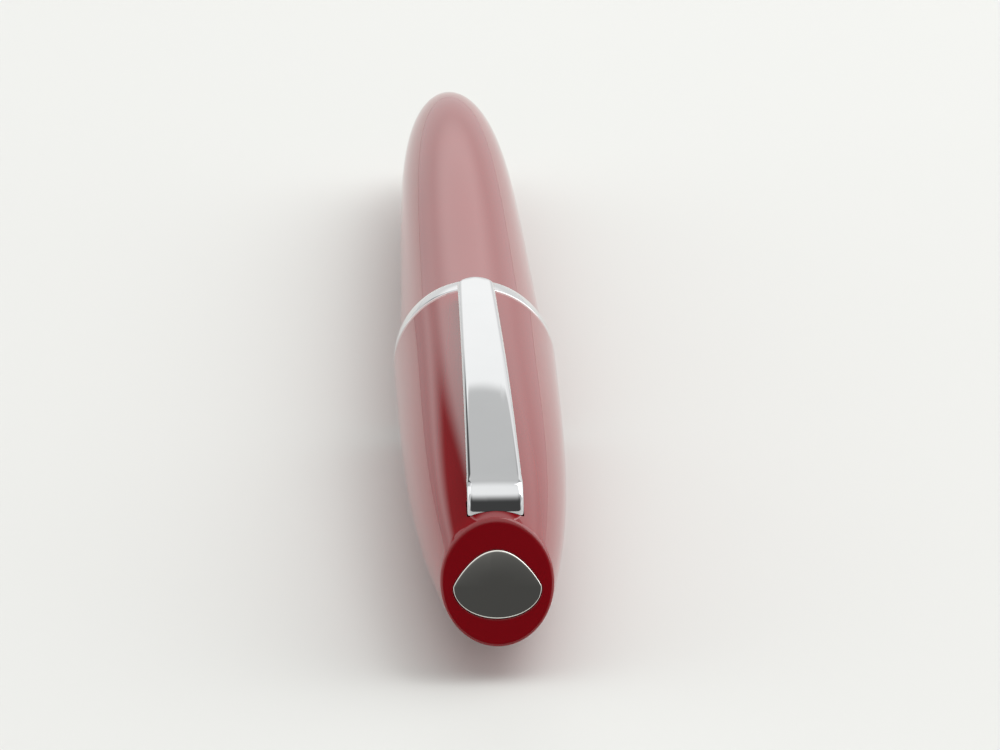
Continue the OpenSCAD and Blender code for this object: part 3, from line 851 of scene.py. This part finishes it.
def close_tree(tree, given, out, geometry):
    real = add(tree, "GeometryNodeRealizeInstances", {0: geometry})
    painted = add(tree, "GeometryNodeSetMaterial",
                  {0: real.outputs[0], "Material": given.outputs["Material"]})
    tree.links.new(painted.outputs[0], out.inputs[0])
    return tree


def helix_tree():
    """A round wire swept along a helix about z."""
    tree, given, out = geometry_tree("helix_wire", [
        ("Radius", FLOAT), ("Wire", FLOAT), ("Turns", FLOAT), ("Height", FLOAT),
        ("Steps", "NodeSocketInt"), ("Material", "NodeSocketMaterial")])
    side = given.outputs
    path = add(tree, "GeometryNodeCurveSpiral",
               {"Resolution": side["Steps"], "Rotations": side["Turns"],
                "Start Radius": side["Radius"], "End Radius": side["Radius"],
                "Height": side["Height"]})
    ring = add(tree, "GeometryNodeCurvePrimitiveCircle", {"Resolution": 14, "Radius": side["Wire"]})
    sweep = add(tree, "GeometryNodeCurveToMesh",
                {"Curve": path.outputs[0], "Profile Curve": ring.outputs[0], "Fill Caps": True})
    smooth = add(tree, "GeometryNodeSetShadeSmooth", {0: sweep.outputs[0], "Shade Smooth": True})
    return close_tree(tree, given, out, smooth.outputs[0])


def array_tree():
    """Copies of the incoming mesh: the n-th is moved, turned and scaled n steps on."""
    tree, given, out = geometry_tree("repeated", [
        ("Count", "NodeSocketInt"), ("First", VECTOR), ("Step", VECTOR), ("Turn", VECTOR),
        ("Scale", VECTOR), ("Scale Step", VECTOR), ("Material", "NodeSocketMaterial")])
    side = given.outputs
    line = add(tree, "GeometryNodeMeshLine", {"Count": side["Count"], "Start Location": side["First"],
                                              "Offset": side["Step"]})
    index = add(tree, "GeometryNodeInputIndex").outputs[0]
    turned, grown = (add(tree, "ShaderNodeVectorMath", {0: side[label], "Scale": index},
                         operation="SCALE") for label in ("Turn", "Scale Step"))
    size = add(tree, "ShaderNodeVectorMath", {0: side["Scale"], 1: grown.outputs[0]}, operation="ADD")
    copies = add(tree, "GeometryNodeInstanceOnPoints",
                 {"Points": line.outputs[0], "Instance": side["Geometry"],
                  "Rotation": turned.outputs[0], "Scale": size.outputs[0]})
    return close_tree(tree, given, out, copies.outputs[0])


TREES = {"helix": helix_tree(), "array": array_tree()}


def grow(obj, tree, **values):
    """Runs one of the trees on an object, then keeps only the resulting mesh."""
    modifier = obj.modifiers.new(tree, "NODES")
    modifier.node_group = TREES[tree]
    for item in TREES[tree].interface.items_tree:
        key = item.name.replace(" ", "_")
        if item.in_out == "INPUT" and key in values:
            modifier[item.identifier] = values[key]
    bake(obj)
    return obj


def helix(name, radius, wire, turns, height, steps, matrix, material):
    """A helix in millimetres, set in place by a matrix that maps its z axis."""
    obj = to_object(name, bmesh.new())
    grow(obj, "helix", Radius=radius * MM, Wire=wire * MM, Turns=float(turns), Height=height * MM,
         Steps=steps, Material=material)
    obj.data.transform(matrix)
    return obj


def along_pen(s):
    """Stands a thing built on the z axis along the pen, starting at s."""
    return Matrix.Translation(place(0, s, 0)) @ Matrix.Rotation(math.radians(-90), 4, "X")


print("geometry node trees:", ", ".join(t.name for t in TREES.values()))

# %% [markdown]
# ## The grip and its rings
# The section is the black piece the fingers hold. It flares towards the barrel, carries
# the clutch ring in a groove and has a plated ring at each end.

# %% Grip, front ring, back ring and clutch ring
SECTION_S, _, GRIP_R0 = span("section_front_ring")
FLANGE_S, FLANGE_END_S, FLANGE_R = span("section_back_ring")
CLUTCH_S, CLUTCH_END_S, _ = span("clutch_ring")
CLUTCH_S, CLUTCH_END_S = CLUTCH_S - 0.03, CLUTCH_END_S + 0.03
COLLAR_S, COLLAR_END_S, THREAD_R = span("thread_collar")
HOUSING_S, HOUSING_END_S, HOUSING_FLANGE_R = span("nib_housing")
HOUSING_R, SPIGOT_R, COLLAR_BORE_R = HOUSING_FLANGE_R - 0.65, THREAD_R - 0.3, THREAD_R - 1.15
GRIP_BACK_R = FLANGE_R - 0.45


def grip_r(s):
    t = min(1.0, max(0.0, (s - SECTION_S - 2) / (CLUTCH_S - SECTION_S - 2)))
    return GRIP_R0 + (GRIP_BACK_R - GRIP_R0) * (1 - math.cos(math.pi * t)) / 2


def grip():
    front = SECTION_S + 1.2
    outer = [(grip_r(s), s) for s in (SECTION_S + 2 + (CLUTCH_S - SECTION_S - 2.2) * i / 40
                                      for i in range(41))]
    groove = GRIP_BACK_R - 0.35
    back = [(GRIP_BACK_R, CLUTCH_S, 0.06), (groove, CLUTCH_S, 0.05), (groove, CLUTCH_END_S, 0.05),
            (GRIP_BACK_R, CLUTCH_END_S, 0.06), (GRIP_BACK_R, FLANGE_S, 0.05),
            (SPIGOT_R + SNUG, FLANGE_S, 0.05), (SPIGOT_R + SNUG, COLLAR_S),
            (COLLAR_BORE_R, COLLAR_S, 0.1), (COLLAR_BORE_R, HOUSING_END_S, 0.1),
            (HOUSING_R + SNUG, HOUSING_END_S, 0.08), (HOUSING_R + SNUG, front, 0.08)]
    outline = rounded(back) + rounded([(GRIP_R0, front, 0.05)]) + [Vector(p) for p in outer]
    return turned_piece("section_grip_moulding", outline, "section", BLACK,
                        "section_grip", 160)


def ring_piece(name, node, bore, bead=0.12, body="section"):
    """A plated ring with eased edges, as long and as large as its node."""
    s1, s2, r = span(node)
    outline = rounded([(bore, s1, 0.05), (r, s1, bead), (r, s2, bead), (bore, s2, 0.05)])
    return turned_piece(name, outline, body, CHROME, node, 160)


def clutch():
    """The sprung ring that clicks into the cap: nearly round, with a gap below."""
    s1, s2, r = span("clutch_ring")
    inner = GRIP_BACK_R - 0.35 + 0.05
    outline = rounded([(inner, s1, 0.06), (r, s1, 0.14), (r, s2, 0.14), (inner, s2, 0.06)])
    gap = math.asin(0.4 / r)
    rows = []
    for k in range(121):
        a = math.pi + gap + (math.tau - 2 * gap) * k / 120
        rows.append([place(p[0] * math.sin(a), p[1], p[0] * math.cos(a)) for p in outline])
    bm = bmesh.new()
    loft(bm, rows, caps=(0, -1))
    return even_piece("clutch_snap_ring", bm, "clutch", CHROME, "clutch_ring")


grip()
ring_piece("section_front_band", "section_front_ring", HOUSING_R + SNUG)
ring_piece("section_back_flange", "section_back_ring", SPIGOT_R + SNUG)
clutch()

# %% [markdown]
# ## The threaded collar and its seal
# The barrel screws onto a brass collar. The thread is a real helix: a rounded ridge
# swept round a smaller core. A rubber ring in a groove keeps the joint from loosening.

# %% Collar, thread and sealing ring
SEAL_MID_S, SEAL_WIRE = sum(span("sealing_ring")[:2]) / 2, 0.84
SEAL_GROOVE_R = THREAD_R - SEAL_WIRE + 0.08
THREAD_S, THREAD_DEPTH = MOUTH_S + 1.8, 0.28


def collar():
    core = THREAD_R - THREAD_DEPTH
    outline = rounded([
        (COLLAR_BORE_R, COLLAR_S, 0.08), (SPIGOT_R, COLLAR_S, 0.1), (SPIGOT_R, FLANGE_END_S),
        (THREAD_R, FLANGE_END_S, 0.05), (THREAD_R, SEAL_MID_S - 0.52, 0.05),
        (SEAL_GROOVE_R, SEAL_MID_S - 0.52, 0.05), (SEAL_GROOVE_R, SEAL_MID_S + 0.52, 0.05),
        (THREAD_R, SEAL_MID_S + 0.52, 0.05), (THREAD_R, THREAD_S, 0.08), (core, THREAD_S + 0.2, 0.05),
        (core, COLLAR_END_S, 0.12), (COLLAR_BORE_R, COLLAR_END_S, 0.1)])
    turned_piece("threaded_collar_body", outline, "section", BRASS,
                 "thread_collar", 144)
    ridge = helix("threaded_collar_ridge", core - 0.03, 0.30, 6, 5.4, 72,
                  along_pen(THREAD_S + 0.5), BRASS)
    finish_piece(ridge, "section", BRASS)


def torus(name, node, ring_r, wire_r, centre_s, body):
    outline = [(ring_r + wire_r * math.cos(a), centre_s + wire_r * math.sin(a))
               for a in circle(24)]
    bm = bmesh.new()
    turn(bm, outline, 128)
    obj = to_object(name, bm)
    return finish_piece(obj, body, RUBBER, node)


collar()
torus("sealing_o_ring", "sealing_ring", SEAL_GROOVE_R + SNUG + SEAL_WIRE / 2, SEAL_WIRE / 2,
      SEAL_MID_S, "seal")

# %% [markdown]
# ## The nib unit
# The nib is a curved sheet of steel with a slit, a breather hole and a welded ball. It
# sits on a finned feed inside a small housing. The sheet is drawn as one skin with the
# slit left out, then given its thickness and eased edges.

# %% Nib housing, nib and ball
NIB_S, NIB_BACK_S, _ = span("nib")
NIB_L, NIB_HALF_W, NIB_T = SECTION_S - 0.9 - NIB_S, 3.45, 0.3
NIB_R = HOUSING_R - 0.42
BREATHER_S, BREATHER_R, SLIT = NIB_S + 0.56 * NIB_L, 0.6, 0.05


def nib_at(s):
    """Half width, radius of curvature and height of the nib's sheet at one place."""
    t = min(1.0, max(0.0, (s - NIB_S) / NIB_L))
    shoulder = 0.74
    if t < shoulder:
        half = 0.35 + (NIB_HALF_W - 0.35) * math.sin(math.pi / 2 * t / shoulder) ** 1.35
    else:
        q = (t - shoulder) / (1 - shoulder)
        half = NIB_HALF_W - (NIB_HALF_W - 2.6) * q * q * (3 - 2 * q)
    curve = NIB_R + 1.5 * math.sin(math.pi * t**1.2) + 0.4 * (1 - t)
    return half, curve, NIB_R - 1.9 * (1 - t)


def nib_sheet():
    places = [NIB_S + (BREATHER_S - BREATHER_R - NIB_S) * k / 40 for k in range(40)]
    places += [BREATHER_S - BREATHER_R * math.cos(math.pi * k / 16) for k in range(17)]
    places += [BREATHER_S + BREATHER_R + (NIB_BACK_S - BREATHER_S - BREATHER_R) * k / 40
               for k in range(1, 41)]
    bm = bmesh.new()
    uv = bm.loops.layers.uv.new("sheet")
    cols = 14
    for side in (-1, 1):
        rows = []
        for s in places:
            half, curve, top = nib_at(s)
            away = abs(s - BREATHER_S)
            inner = SLIT if s < BREATHER_S else 0.0
            if away < BREATHER_R:
                inner = max(inner, math.sqrt(BREATHER_R**2 - away**2))
            start, stop = math.asin(inner / curve), math.asin(half / curve)
            row = []
            for j in range(cols + 1):
                a = side * (start + (stop - start) * j / cols)
                v = bm.verts.new(place(curve * math.sin(a), s, top - curve + curve * math.cos(a)))
                row.append((v, abs(a) / stop, (s - NIB_S) / NIB_L))
            rows.append(row)
        for a, b in zip(rows, rows[1:]):
            for j in range(cols):
                corners = [a[j], a[j + 1], b[j + 1], b[j]][::side]
                face = bm.faces.new([c[0] for c in corners])
                for loop, corner in zip(face.loops, corners):
                    loop[uv].uv = corner[1:]
    bmesh.ops.remove_doubles(bm, verts=bm.verts, dist=1e-7)
    bm.normal_update()
    if sum(face.normal.z for face in bm.faces) < 0:
        bmesh.ops.reverse_faces(bm, faces=bm.faces)
    obj = linked("nib_sheet", bm)
    thick = obj.modifiers.new("sheet", "SOLIDIFY")
    thick.thickness, thick.offset = NIB_T * MM, -1.0
    edge = obj.modifiers.new("edge", "BEVEL")
    edge.width, edge.segments, edge.angle_limit = 0.04 * MM, 2, math.radians(50)
    bake(obj)
    return finish_piece(obj, "section", NIB_FINISH, "nib")


def engraved_steel():
    """Nib steel with a border line engraved along the sheet's shoulders."""
    f = Finish("engraved_steel", Metallic=1.0)
    sheet = add(f.tree, "ShaderNodeUVMap", uv_map="sheet").outputs[0]
    parts = add(f.tree, "ShaderNodeSeparateXYZ", {0: sheet})
    lines = []
    for at, width in ((0.80, 0.016), (0.87, 0.010)):
        away = math_node(f.tree, "ABSOLUTE", math_node(f.tree, "SUBTRACT", parts.outputs[0], at))
        lines.append(math_node(f.tree, "LESS_THAN", away, width))
    line = math_node(f.tree, "MAXIMUM", *lines)
    inside = math_node(f.tree, "MULTIPLY", math_node(f.tree, "GREATER_THAN", parts.outputs[1], 0.42),
                       math_node(f.tree, "LESS_THAN", parts.outputs[1], 0.90))
    cut = math_node(f.tree, "MULTIPLY", line, inside)
    f.colour(cut, (0.72, 0.71, 0.69), (0.16, 0.155, 0.15))
    f.roughness(f.effect("hairline_scratches", Scale=1500.0), 0.13, 0.28)
    f.bump(math_node(f.tree, "SUBTRACT", 1.0, cut), 0.00003)
    return f.material


NIB_FINISH = engraved_steel()
nib_sheet()
BORE = HOUSING_R - 0.4
turned_piece("nib_unit_housing", rounded([
    (BORE, HOUSING_S, 0.12), (HOUSING_FLANGE_R, HOUSING_S, 0.3), (HOUSING_FLANGE_R, SECTION_S, 0.06),
    (HOUSING_R, SECTION_S, 0.06), (HOUSING_R, HOUSING_END_S, 0.1), (0.6, HOUSING_END_S, 0.05),
    (0.6, HOUSING_END_S - 0.9, 0.05), (BORE, HOUSING_END_S - 0.9, 0.1)]),
    "section", BLACK, "nib_housing", 128)
TIP_LOW, TIP_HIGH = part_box("nib_tipping")
tip_r = (TIP_HIGH[1] - TIP_LOW[1]) / 2 / MM
tip_s = (TIP_LOW[1] - CROWN_Y) / MM + tip_r
tip_up = ((TIP_LOW[2] + TIP_HIGH[2]) / 2 - AXIS_Z) / MM
tip = bmesh.new()
turn(tip, [(tip_r * math.sin(a), tip_s - tip_r * math.cos(a))
           for a in (math.pi * k / 24 for k in range(25))], 48, (0, tip_up))
finish_piece(to_object("nib_welded_ball", tip), "section", STEEL, "nib_tipping")

# %% [markdown]
# The feed is a black comb that buffers ink: a solid spine with thin fins below. The
# spine is lofted with its underside cut flat along the comb, and the array tree sets
# one fin many times, each a little larger than the last.

# %% Feed, fins and nipple
FEED_S, FEED_END_S, FEED_R = span("feed")
FIN_PITCH, FIN_T, FIN_CUT = 0.9, 0.5, -0.5
COMB_S, COMB_END_S = HOUSING_S - 1.4 - 8.1, HOUSING_S - 1.4 + 0.4


def feed_r(s):
    return 0.84 + (FEED_R - 0.84) * min(1.0, (s - FEED_S - 0.3) / (HOUSING_S - FEED_S))


def feed():
    stations = [FEED_S + 0.001, FEED_S + 0.1, FEED_S + 0.3]
    stations += [FEED_S + 0.3 + (COMB_S - FEED_S - 0.3) * k / 12 for k in range(1, 13)]
    stations += [COMB_S + 0.01, *[COMB_S + (COMB_END_S - COMB_S) * k / 12 for k in range(1, 12)],
                 COMB_END_S - 0.01, COMB_END_S, HOUSING_S + 0.3, HOUSING_S + 1.2,
                 FEED_END_S - 0.2, FEED_END_S]
    bm = bmesh.new()
    rows = []
    for s in stations:
        r = feed_r(s)
        if s < FEED_S + 0.05:
            r = 0.66
        elif s < FEED_S + 0.2:
            r = 0.76
        elif s > FEED_END_S - 0.1:
            r -= 0.15
        cut = FIN_CUT if COMB_S < s < COMB_END_S else -r
        rows.append([place(r * math.sin(a), s, max(cut, r * math.cos(a)))
                     for a in circle(96)])
    loft(bm, rows, caps=(0, -1))
    even_piece("feed_spine", bm, "section", BLACK, "feed")
    # one fin, of unit radius and standing at the origin
    half = [(math.sin(a), math.cos(a)) for a in (math.pi * (0.5 + k / 40) for k in range(41))]
    bm = bmesh.new()
    layers = []
    for y, shrink in ((-FIN_T / 2, 0.97), (-FIN_T / 2 + 0.06, 1.0), (FIN_T / 2 - 0.06, 1.0),
                      (FIN_T / 2, 0.97)):
        layers.append([(x * shrink, y * MM, z * shrink) for x, z in half])
    loft(bm, layers, caps=(0, -1))
    fins = to_object("feed_fins", bm)
    first = COMB_S + 0.4 + FIN_T / 2
    low, high = feed_r(first), feed_r(first + 8 * FIN_PITCH)
    step = (high - low) / 8
    grow(fins, "array", Count=9, First=place(0, first, 0), Step=(0, FIN_PITCH * MM, 0),
         Turn=(0, 0, 0), Scale=(low * MM, 1, low * MM), Scale_Step=(step * MM, 0, step * MM),
         Material=BLACK)
    finish_piece(fins, "section", BLACK)


feed()
NIPPLE_S, NIPPLE_END_S, NIPPLE_BASE_R = span("ink_nipple")
turned_piece("ink_nipple_tube", rounded([
    (0.4, NIPPLE_S, 0.05), (NIPPLE_BASE_R, NIPPLE_S, 0.1), (NIPPLE_BASE_R, NIPPLE_S + 0.8, 0.1),
    (1.25, NIPPLE_S + 0.8, 0.1), (1.25, NIPPLE_END_S, 0.35), (0.4, NIPPLE_END_S, 0.05)]),
    "section", BLACK, "ink_nipple", 96)

# %% [markdown]
# ## Inside the barrel
# A brass bush gives the barrel its inner thread, and a thin plated ring dresses the
# mouth. The bush's grooves are cut into its wall, so the collar's ridge runs clear.

# %% Bush and mouth ring
BUSH_S, BUSH_END_S, BUSH_R = span("barrel_bush")
BUSH_BORE_R, RELIEF_R = THREAD_R + RUNNING, SEAL_GROOVE_R + SNUG + SEAL_WIRE + 0.08
grooves = []
for k in range(8):
    s = BUSH_END_S - 0.7 - 0.9 * k
    grooves += [(BUSH_BORE_R, s + 0.25, 0.04), (BUSH_BORE_R + 0.25, s + 0.08, 0.05),
                (BUSH_BORE_R + 0.25, s - 0.08, 0.05), (BUSH_BORE_R, s - 0.25, 0.04)]
turned_piece("barrel_thread_bush", rounded([
    (RELIEF_R, BUSH_S, 0.05), (BUSH_R, BUSH_S, 0.05), (BUSH_R, BUSH_END_S, 0.1),
    (BUSH_BORE_R, BUSH_END_S, 0.1), *grooves, (BUSH_BORE_R, BUSH_S + 1.6, 0.05),
    (RELIEF_R, BUSH_S + 1.6, 0.05)]), "barrel", BRASS, "barrel_bush", 128)
ring_piece("barrel_mouth_band", "mouth_ring", RELIEF_R, 0.1, body="washer")

# %% [markdown]
# ## The converter
# A clear tank, a plated sleeve, a turning knob with ribs for the fingertips and a
# piston on a threaded rod. The ribs and the rod's thread come from the two node trees.

# %% Converter: tank, sleeve, knob, seal and rod
TANK_S, TANK_END_S, TANK_R = span("converter_tank")
SLEEVE_S, SLEEVE_END_S, SLEEVE_R = span("converter_sleeve")
KNOB_S, KNOB_END_S = SLEEVE_END_S + 0.1, span("converter_knob")[1]
KNOB_R, NECK_R, CHAMBER_R = 3.2, TANK_R - 0.9, TANK_R - 0.65
PSEAL_S, PSEAL_END_S, PSEAL_R = span("piston_seal")
ROD_S, ROD_END_S, ROD_R = span("piston_rod")

turned_piece("converter_clear_tank", rounded([
    (1.3, TANK_S, 0.1), (TANK_R, TANK_S, 0.35), (TANK_R, TANK_END_S, 0.1),
    (CHAMBER_R, TANK_END_S, 0.1), (CHAMBER_R, TANK_S + 8.1, 0.3), (1.3, TANK_S + 7.3, 0.1)]),
    "converter", CLEAR, "converter_tank", 128)
turned_piece("converter_plated_sleeve", rounded([
    (TANK_R + SNUG, SLEEVE_S, 0.06), (SLEEVE_R, SLEEVE_S, 0.15),
    (SLEEVE_R, SLEEVE_END_S - 1.6, 0.06),
    (SLEEVE_R - 0.12, SLEEVE_END_S - 1.5, 0.04), (SLEEVE_R - 0.12, SLEEVE_END_S - 1.2, 0.04),
    (SLEEVE_R, SLEEVE_END_S - 1.1, 0.06), (SLEEVE_R, SLEEVE_END_S, 0.2),
    (NECK_R + RUNNING, SLEEVE_END_S, 0.06), (NECK_R + RUNNING, SLEEVE_END_S - 1, 0.06),
    (TANK_R + SNUG, SLEEVE_END_S - 1, 0.05)]),
    "converter", CHROME, "converter_sleeve", 128)
turned_piece("converter_knob_core", rounded([
    (1.25, TANK_END_S + 0.1, 0.05), (TANK_R - RUNNING, TANK_END_S + 0.1, 0.1),
    (TANK_R - RUNNING, SLEEVE_END_S - 1.1, 0.1), (NECK_R, SLEEVE_END_S - 1.1, 0.05),
    (NECK_R, KNOB_S, 0.05), (KNOB_R - 0.05, KNOB_S, 0.2),
    (KNOB_R - 0.05, KNOB_S + 1.4, 0.05), (KNOB_R - 0.16, KNOB_S + 1.6, 0.05),
    (KNOB_R - 0.16, KNOB_END_S - 1.2, 0.05), (KNOB_R - 0.1, KNOB_END_S - 1.0, 0.05),
    (KNOB_R - 0.1, KNOB_END_S - 0.5, 0.1), (KNOB_R - 0.6, KNOB_END_S, 0.2)])
    + [Vector((0, KNOB_END_S)), Vector((0, KNOB_END_S - 0.9))]
    + rounded([(1.25, KNOB_END_S - 0.9, 0.05)]), "knob", BLACK,
    "converter_knob", 128)


def knob_ribs():
    """One lengthwise rib with rounded ends, set round the knob forty times."""
    half_l, half_w, high = (KNOB_END_S - KNOB_S - 3.6) / 2, 0.15, 0.17
    bm = bmesh.new()
    rows = []
    for k in range(13):
        a = math.pi * k / 12
        y, swell = -half_l * math.cos(a), max(0.04, math.sin(a) ** 0.3)
        base = KNOB_R - 0.19
        rows.append([(x * MM, y * MM, z * MM) for x, z in
                     ((-half_w * swell, base), (half_w * swell, base),
                      (half_w * 0.8 * swell, base + high * 0.75 * swell),
                      (0, base + high * swell), (-half_w * 0.8 * swell, base + high * 0.75 * swell))])
    loft(bm, rows, caps=(0, -1))
    obj, count = to_object("converter_knob_ribs", bm), 40
    grow(obj, "array", Count=count, First=place(0, (KNOB_S + KNOB_END_S + 0.6) / 2, 0),
         Step=(0, 0, 0), Turn=(0, math.tau / count, 0), Scale=(1, 1, 1),
         Scale_Step=(0, 0, 0), Material=BLACK)
    return finish_piece(obj, "knob", BLACK)


knob_ribs()
turned_piece("piston_rubber_seal", [Vector((0, PSEAL_S))] + rounded([
    (PSEAL_R - 0.45, PSEAL_S, 0.1), (PSEAL_R, PSEAL_S + 0.5, 0.15), (PSEAL_R, PSEAL_S + 1.4, 0.15),
    (PSEAL_R - 0.35, PSEAL_S + 1.9, 0.15), (PSEAL_R - 0.35, PSEAL_END_S - 1.9, 0.15),
    (PSEAL_R, PSEAL_END_S - 1.4, 0.15), (PSEAL_R, PSEAL_END_S, 0.1)]) + [Vector((0, PSEAL_END_S))],
    "piston", RUBBER, "piston_seal", 96)
turned_piece("piston_rod_core", [Vector((0, ROD_S))] + rounded([
    (ROD_R, ROD_S, 0.03), (ROD_R, ROD_S + 0.6, 0.03), (ROD_R - 0.18, ROD_S + 0.8, 0.03),
    (ROD_R - 0.18, ROD_END_S - 0.4, 0.1), (ROD_R - 0.4, ROD_END_S, 0.05)])
    + [Vector((0, ROD_END_S))], "piston", BLACK, "piston_rod", 64)
TURNS = 5
rod_thread = helix("piston_rod_thread", ROD_R - 0.2, 0.2, TURNS, ROD_END_S - ROD_S - 2.4, 40,
                   along_pen(ROD_S + 1.2), BLACK)
finish_piece(rod_thread, "piston", BLACK)

# %% [markdown]
# ## The hidden hinge of the clip
# A coil spring under the cap's roof presses the clip's lever down. In the pen it shortens as the
# clip opens; here it is built once, at rest. The inner cap, the carrier and the pin are plain
# turned or moulded pieces already right in the model, so they only get their finishes.

# %% Clip spring and the finishes of the plain pieces
low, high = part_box("clip_spring")
spring_up = (low[2] - AXIS_Z) / MM
spring_s = ((low[1] + high[1]) / 2 - CROWN_Y) / MM
spring_wire = 0.15
spring_long = (high[2] - low[2]) / MM - 2 * spring_wire
coil = helix("clip_coil_spring", 0.95, spring_wire, 4, spring_long, 32,
             Matrix.Translation(place(0, spring_s, spring_up + spring_wire)), STEEL)
finish_piece(coil, "cap", STEEL, "clip_spring")
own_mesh(coil)

for node, material in (("inner_cap", BLACK), ("clip_carrier", BRASS), ("clip_pin", STEEL)):
    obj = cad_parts[node]
    for index in range(len(obj.material_slots)):
        obj.material_slots[index].material = material
    print(f"{obj.name}: finished in {material.name}")

# %% [markdown]
# ## Light and camera
# A glossy object is lit by what it reflects. A pale room with a broad bright panel far
# behind gives the pale wash on top, and soft panels at the sides draw the edges.

# %% Floor, light and camera


def floor_finish():
    f = Finish("pale_floor", Roughness=0.55)
    f.colour(f.noise(6.0, 2.0), (0.76, 0.765, 0.745), (0.79, 0.795, 0.775))
    return f.material


def room_light():
    """A grey room with a bright far wall, a dark near side and a dark gap at the far left."""
    world = bpy.data.worlds.new("studio_room")
    bpy.context.scene.world = world
    world.use_nodes = True
    tree = world.node_tree
    way = add(tree, "ShaderNodeSeparateXYZ",
              {0: add(tree, "ShaderNodeTexCoord").outputs["Generated"]})
    east, north, up = way.outputs
    heading = math_node(tree, "ARCTAN2", east, north)
    height = math_node(tree, "ARCSINE", up)

    def rise(value, low, high):
        """Goes smoothly from 0 to 1 between two angles in degrees."""
        return add(tree, "ShaderNodeMapRange",
                   {"Value": value, "From Min": math.radians(low), "From Max": math.radians(high)},
                   interpolation_type="SMOOTHSTEP").outputs[0]

    def mixed(low, high, mask):
        return math_node(tree, "MULTIPLY_ADD", mask, math_node(tree, "SUBTRACT", high, low), low)

    def between(value, low, high, soft):
        return math_node(tree, "MULTIPLY", rise(value, low - soft, low + soft),
                         math_node(tree, "SUBTRACT", 1.0, rise(value, high - soft, high + soft)))

    turned = math_node(tree, "ABSOLUTE", heading)
    window = mixed(1.12, 1.27, between(heading, -12, 10, 4))
    wall = mixed(0.90, window, between(height, 10.5, 60, 3))
    wall = mixed(wall, mixed(0.74, 0.54, rise(heading, 8, 20)), rise(height, 23.4, 25.2))
    wall = mixed(wall, 0.66, math_node(tree, "MULTIPLY", between(heading, -45, -16, 3),
                                       math_node(tree, "SUBTRACT", 1.0, rise(height, 3, 7))))
    wall = mixed(wall, 0.10, math_node(tree, "MULTIPLY", between(heading, -45, -15.5, 3),
                                       rise(height, 6, 13)))
    wall = mixed(wall, 1.25, rise(height, 36, 76))
    light = mixed(wall, 0.07, math_node(tree, "MULTIPLY", rise(turned, 110, 135),
                                        math_node(tree, "SUBTRACT", 1.0, rise(height, 40, 80))))
    background = tree.nodes["Background"]
    background.inputs[0].default_value = (1.0, 1.0, 0.985, 1)
    tree.links.new(light, background.inputs[1])


def soft_panel(name, heading, elevation, size, power):
    """A square area light that looks at the middle of the pen from 1.6 m away."""
    light = bpy.data.lights.new(name, "AREA")
    light.shape, light.size, light.energy = "SQUARE", size, power
    panel = bpy.data.objects.new(name, light)
    bpy.context.scene.collection.objects.link(panel)
    heading, elevation = math.radians(heading), math.radians(elevation)
    away = Vector((math.sin(heading) * math.cos(elevation), math.cos(heading) * math.cos(elevation),
                   math.sin(elevation)))
    panel.location = place(0, 60, 0) + away * 1.6
    panel.rotation_euler = (-away).to_track_quat("-Z", "Y").to_euler()


def studio():
    bm = bmesh.new()
    half = 4.0
    rows = [[Vector((x, y, 0)) for x in (-half, half)] for y in (-half, half)]
    loft(bm, rows, around=False)
    floor = to_object("studio_floor", bm)
    floor.data.materials.append(floor_finish())
    room_light()

    soft_panel("key_panel", 60, 45, 1.5, 16.0)
    soft_panel("left_fill", -55, 40, 1.5, 4.0)

    lens = bpy.data.cameras.new("studio_camera")
    camera = bpy.data.objects.new("studio_camera", lens)
    bpy.context.scene.collection.objects.link(camera)
    bpy.context.scene.camera = camera
    heading, elevation, distance = math.radians(2.0), math.radians(18.1), 0.6887
    lens.sensor_width, lens.lens = 36, 288
    lens.clip_start, lens.clip_end = 0.01, 30
    target = place(2.1, 54.5, 0)
    back = Vector((-math.sin(heading) * math.cos(elevation),
                   -math.cos(heading) * math.cos(elevation), math.sin(elevation)))
    camera.location = target + back * distance
    camera.rotation_euler = (math.pi / 2 - elevation, 0, -heading)
    bpy.context.scene.view_settings.view_transform = "Standard"


studio()
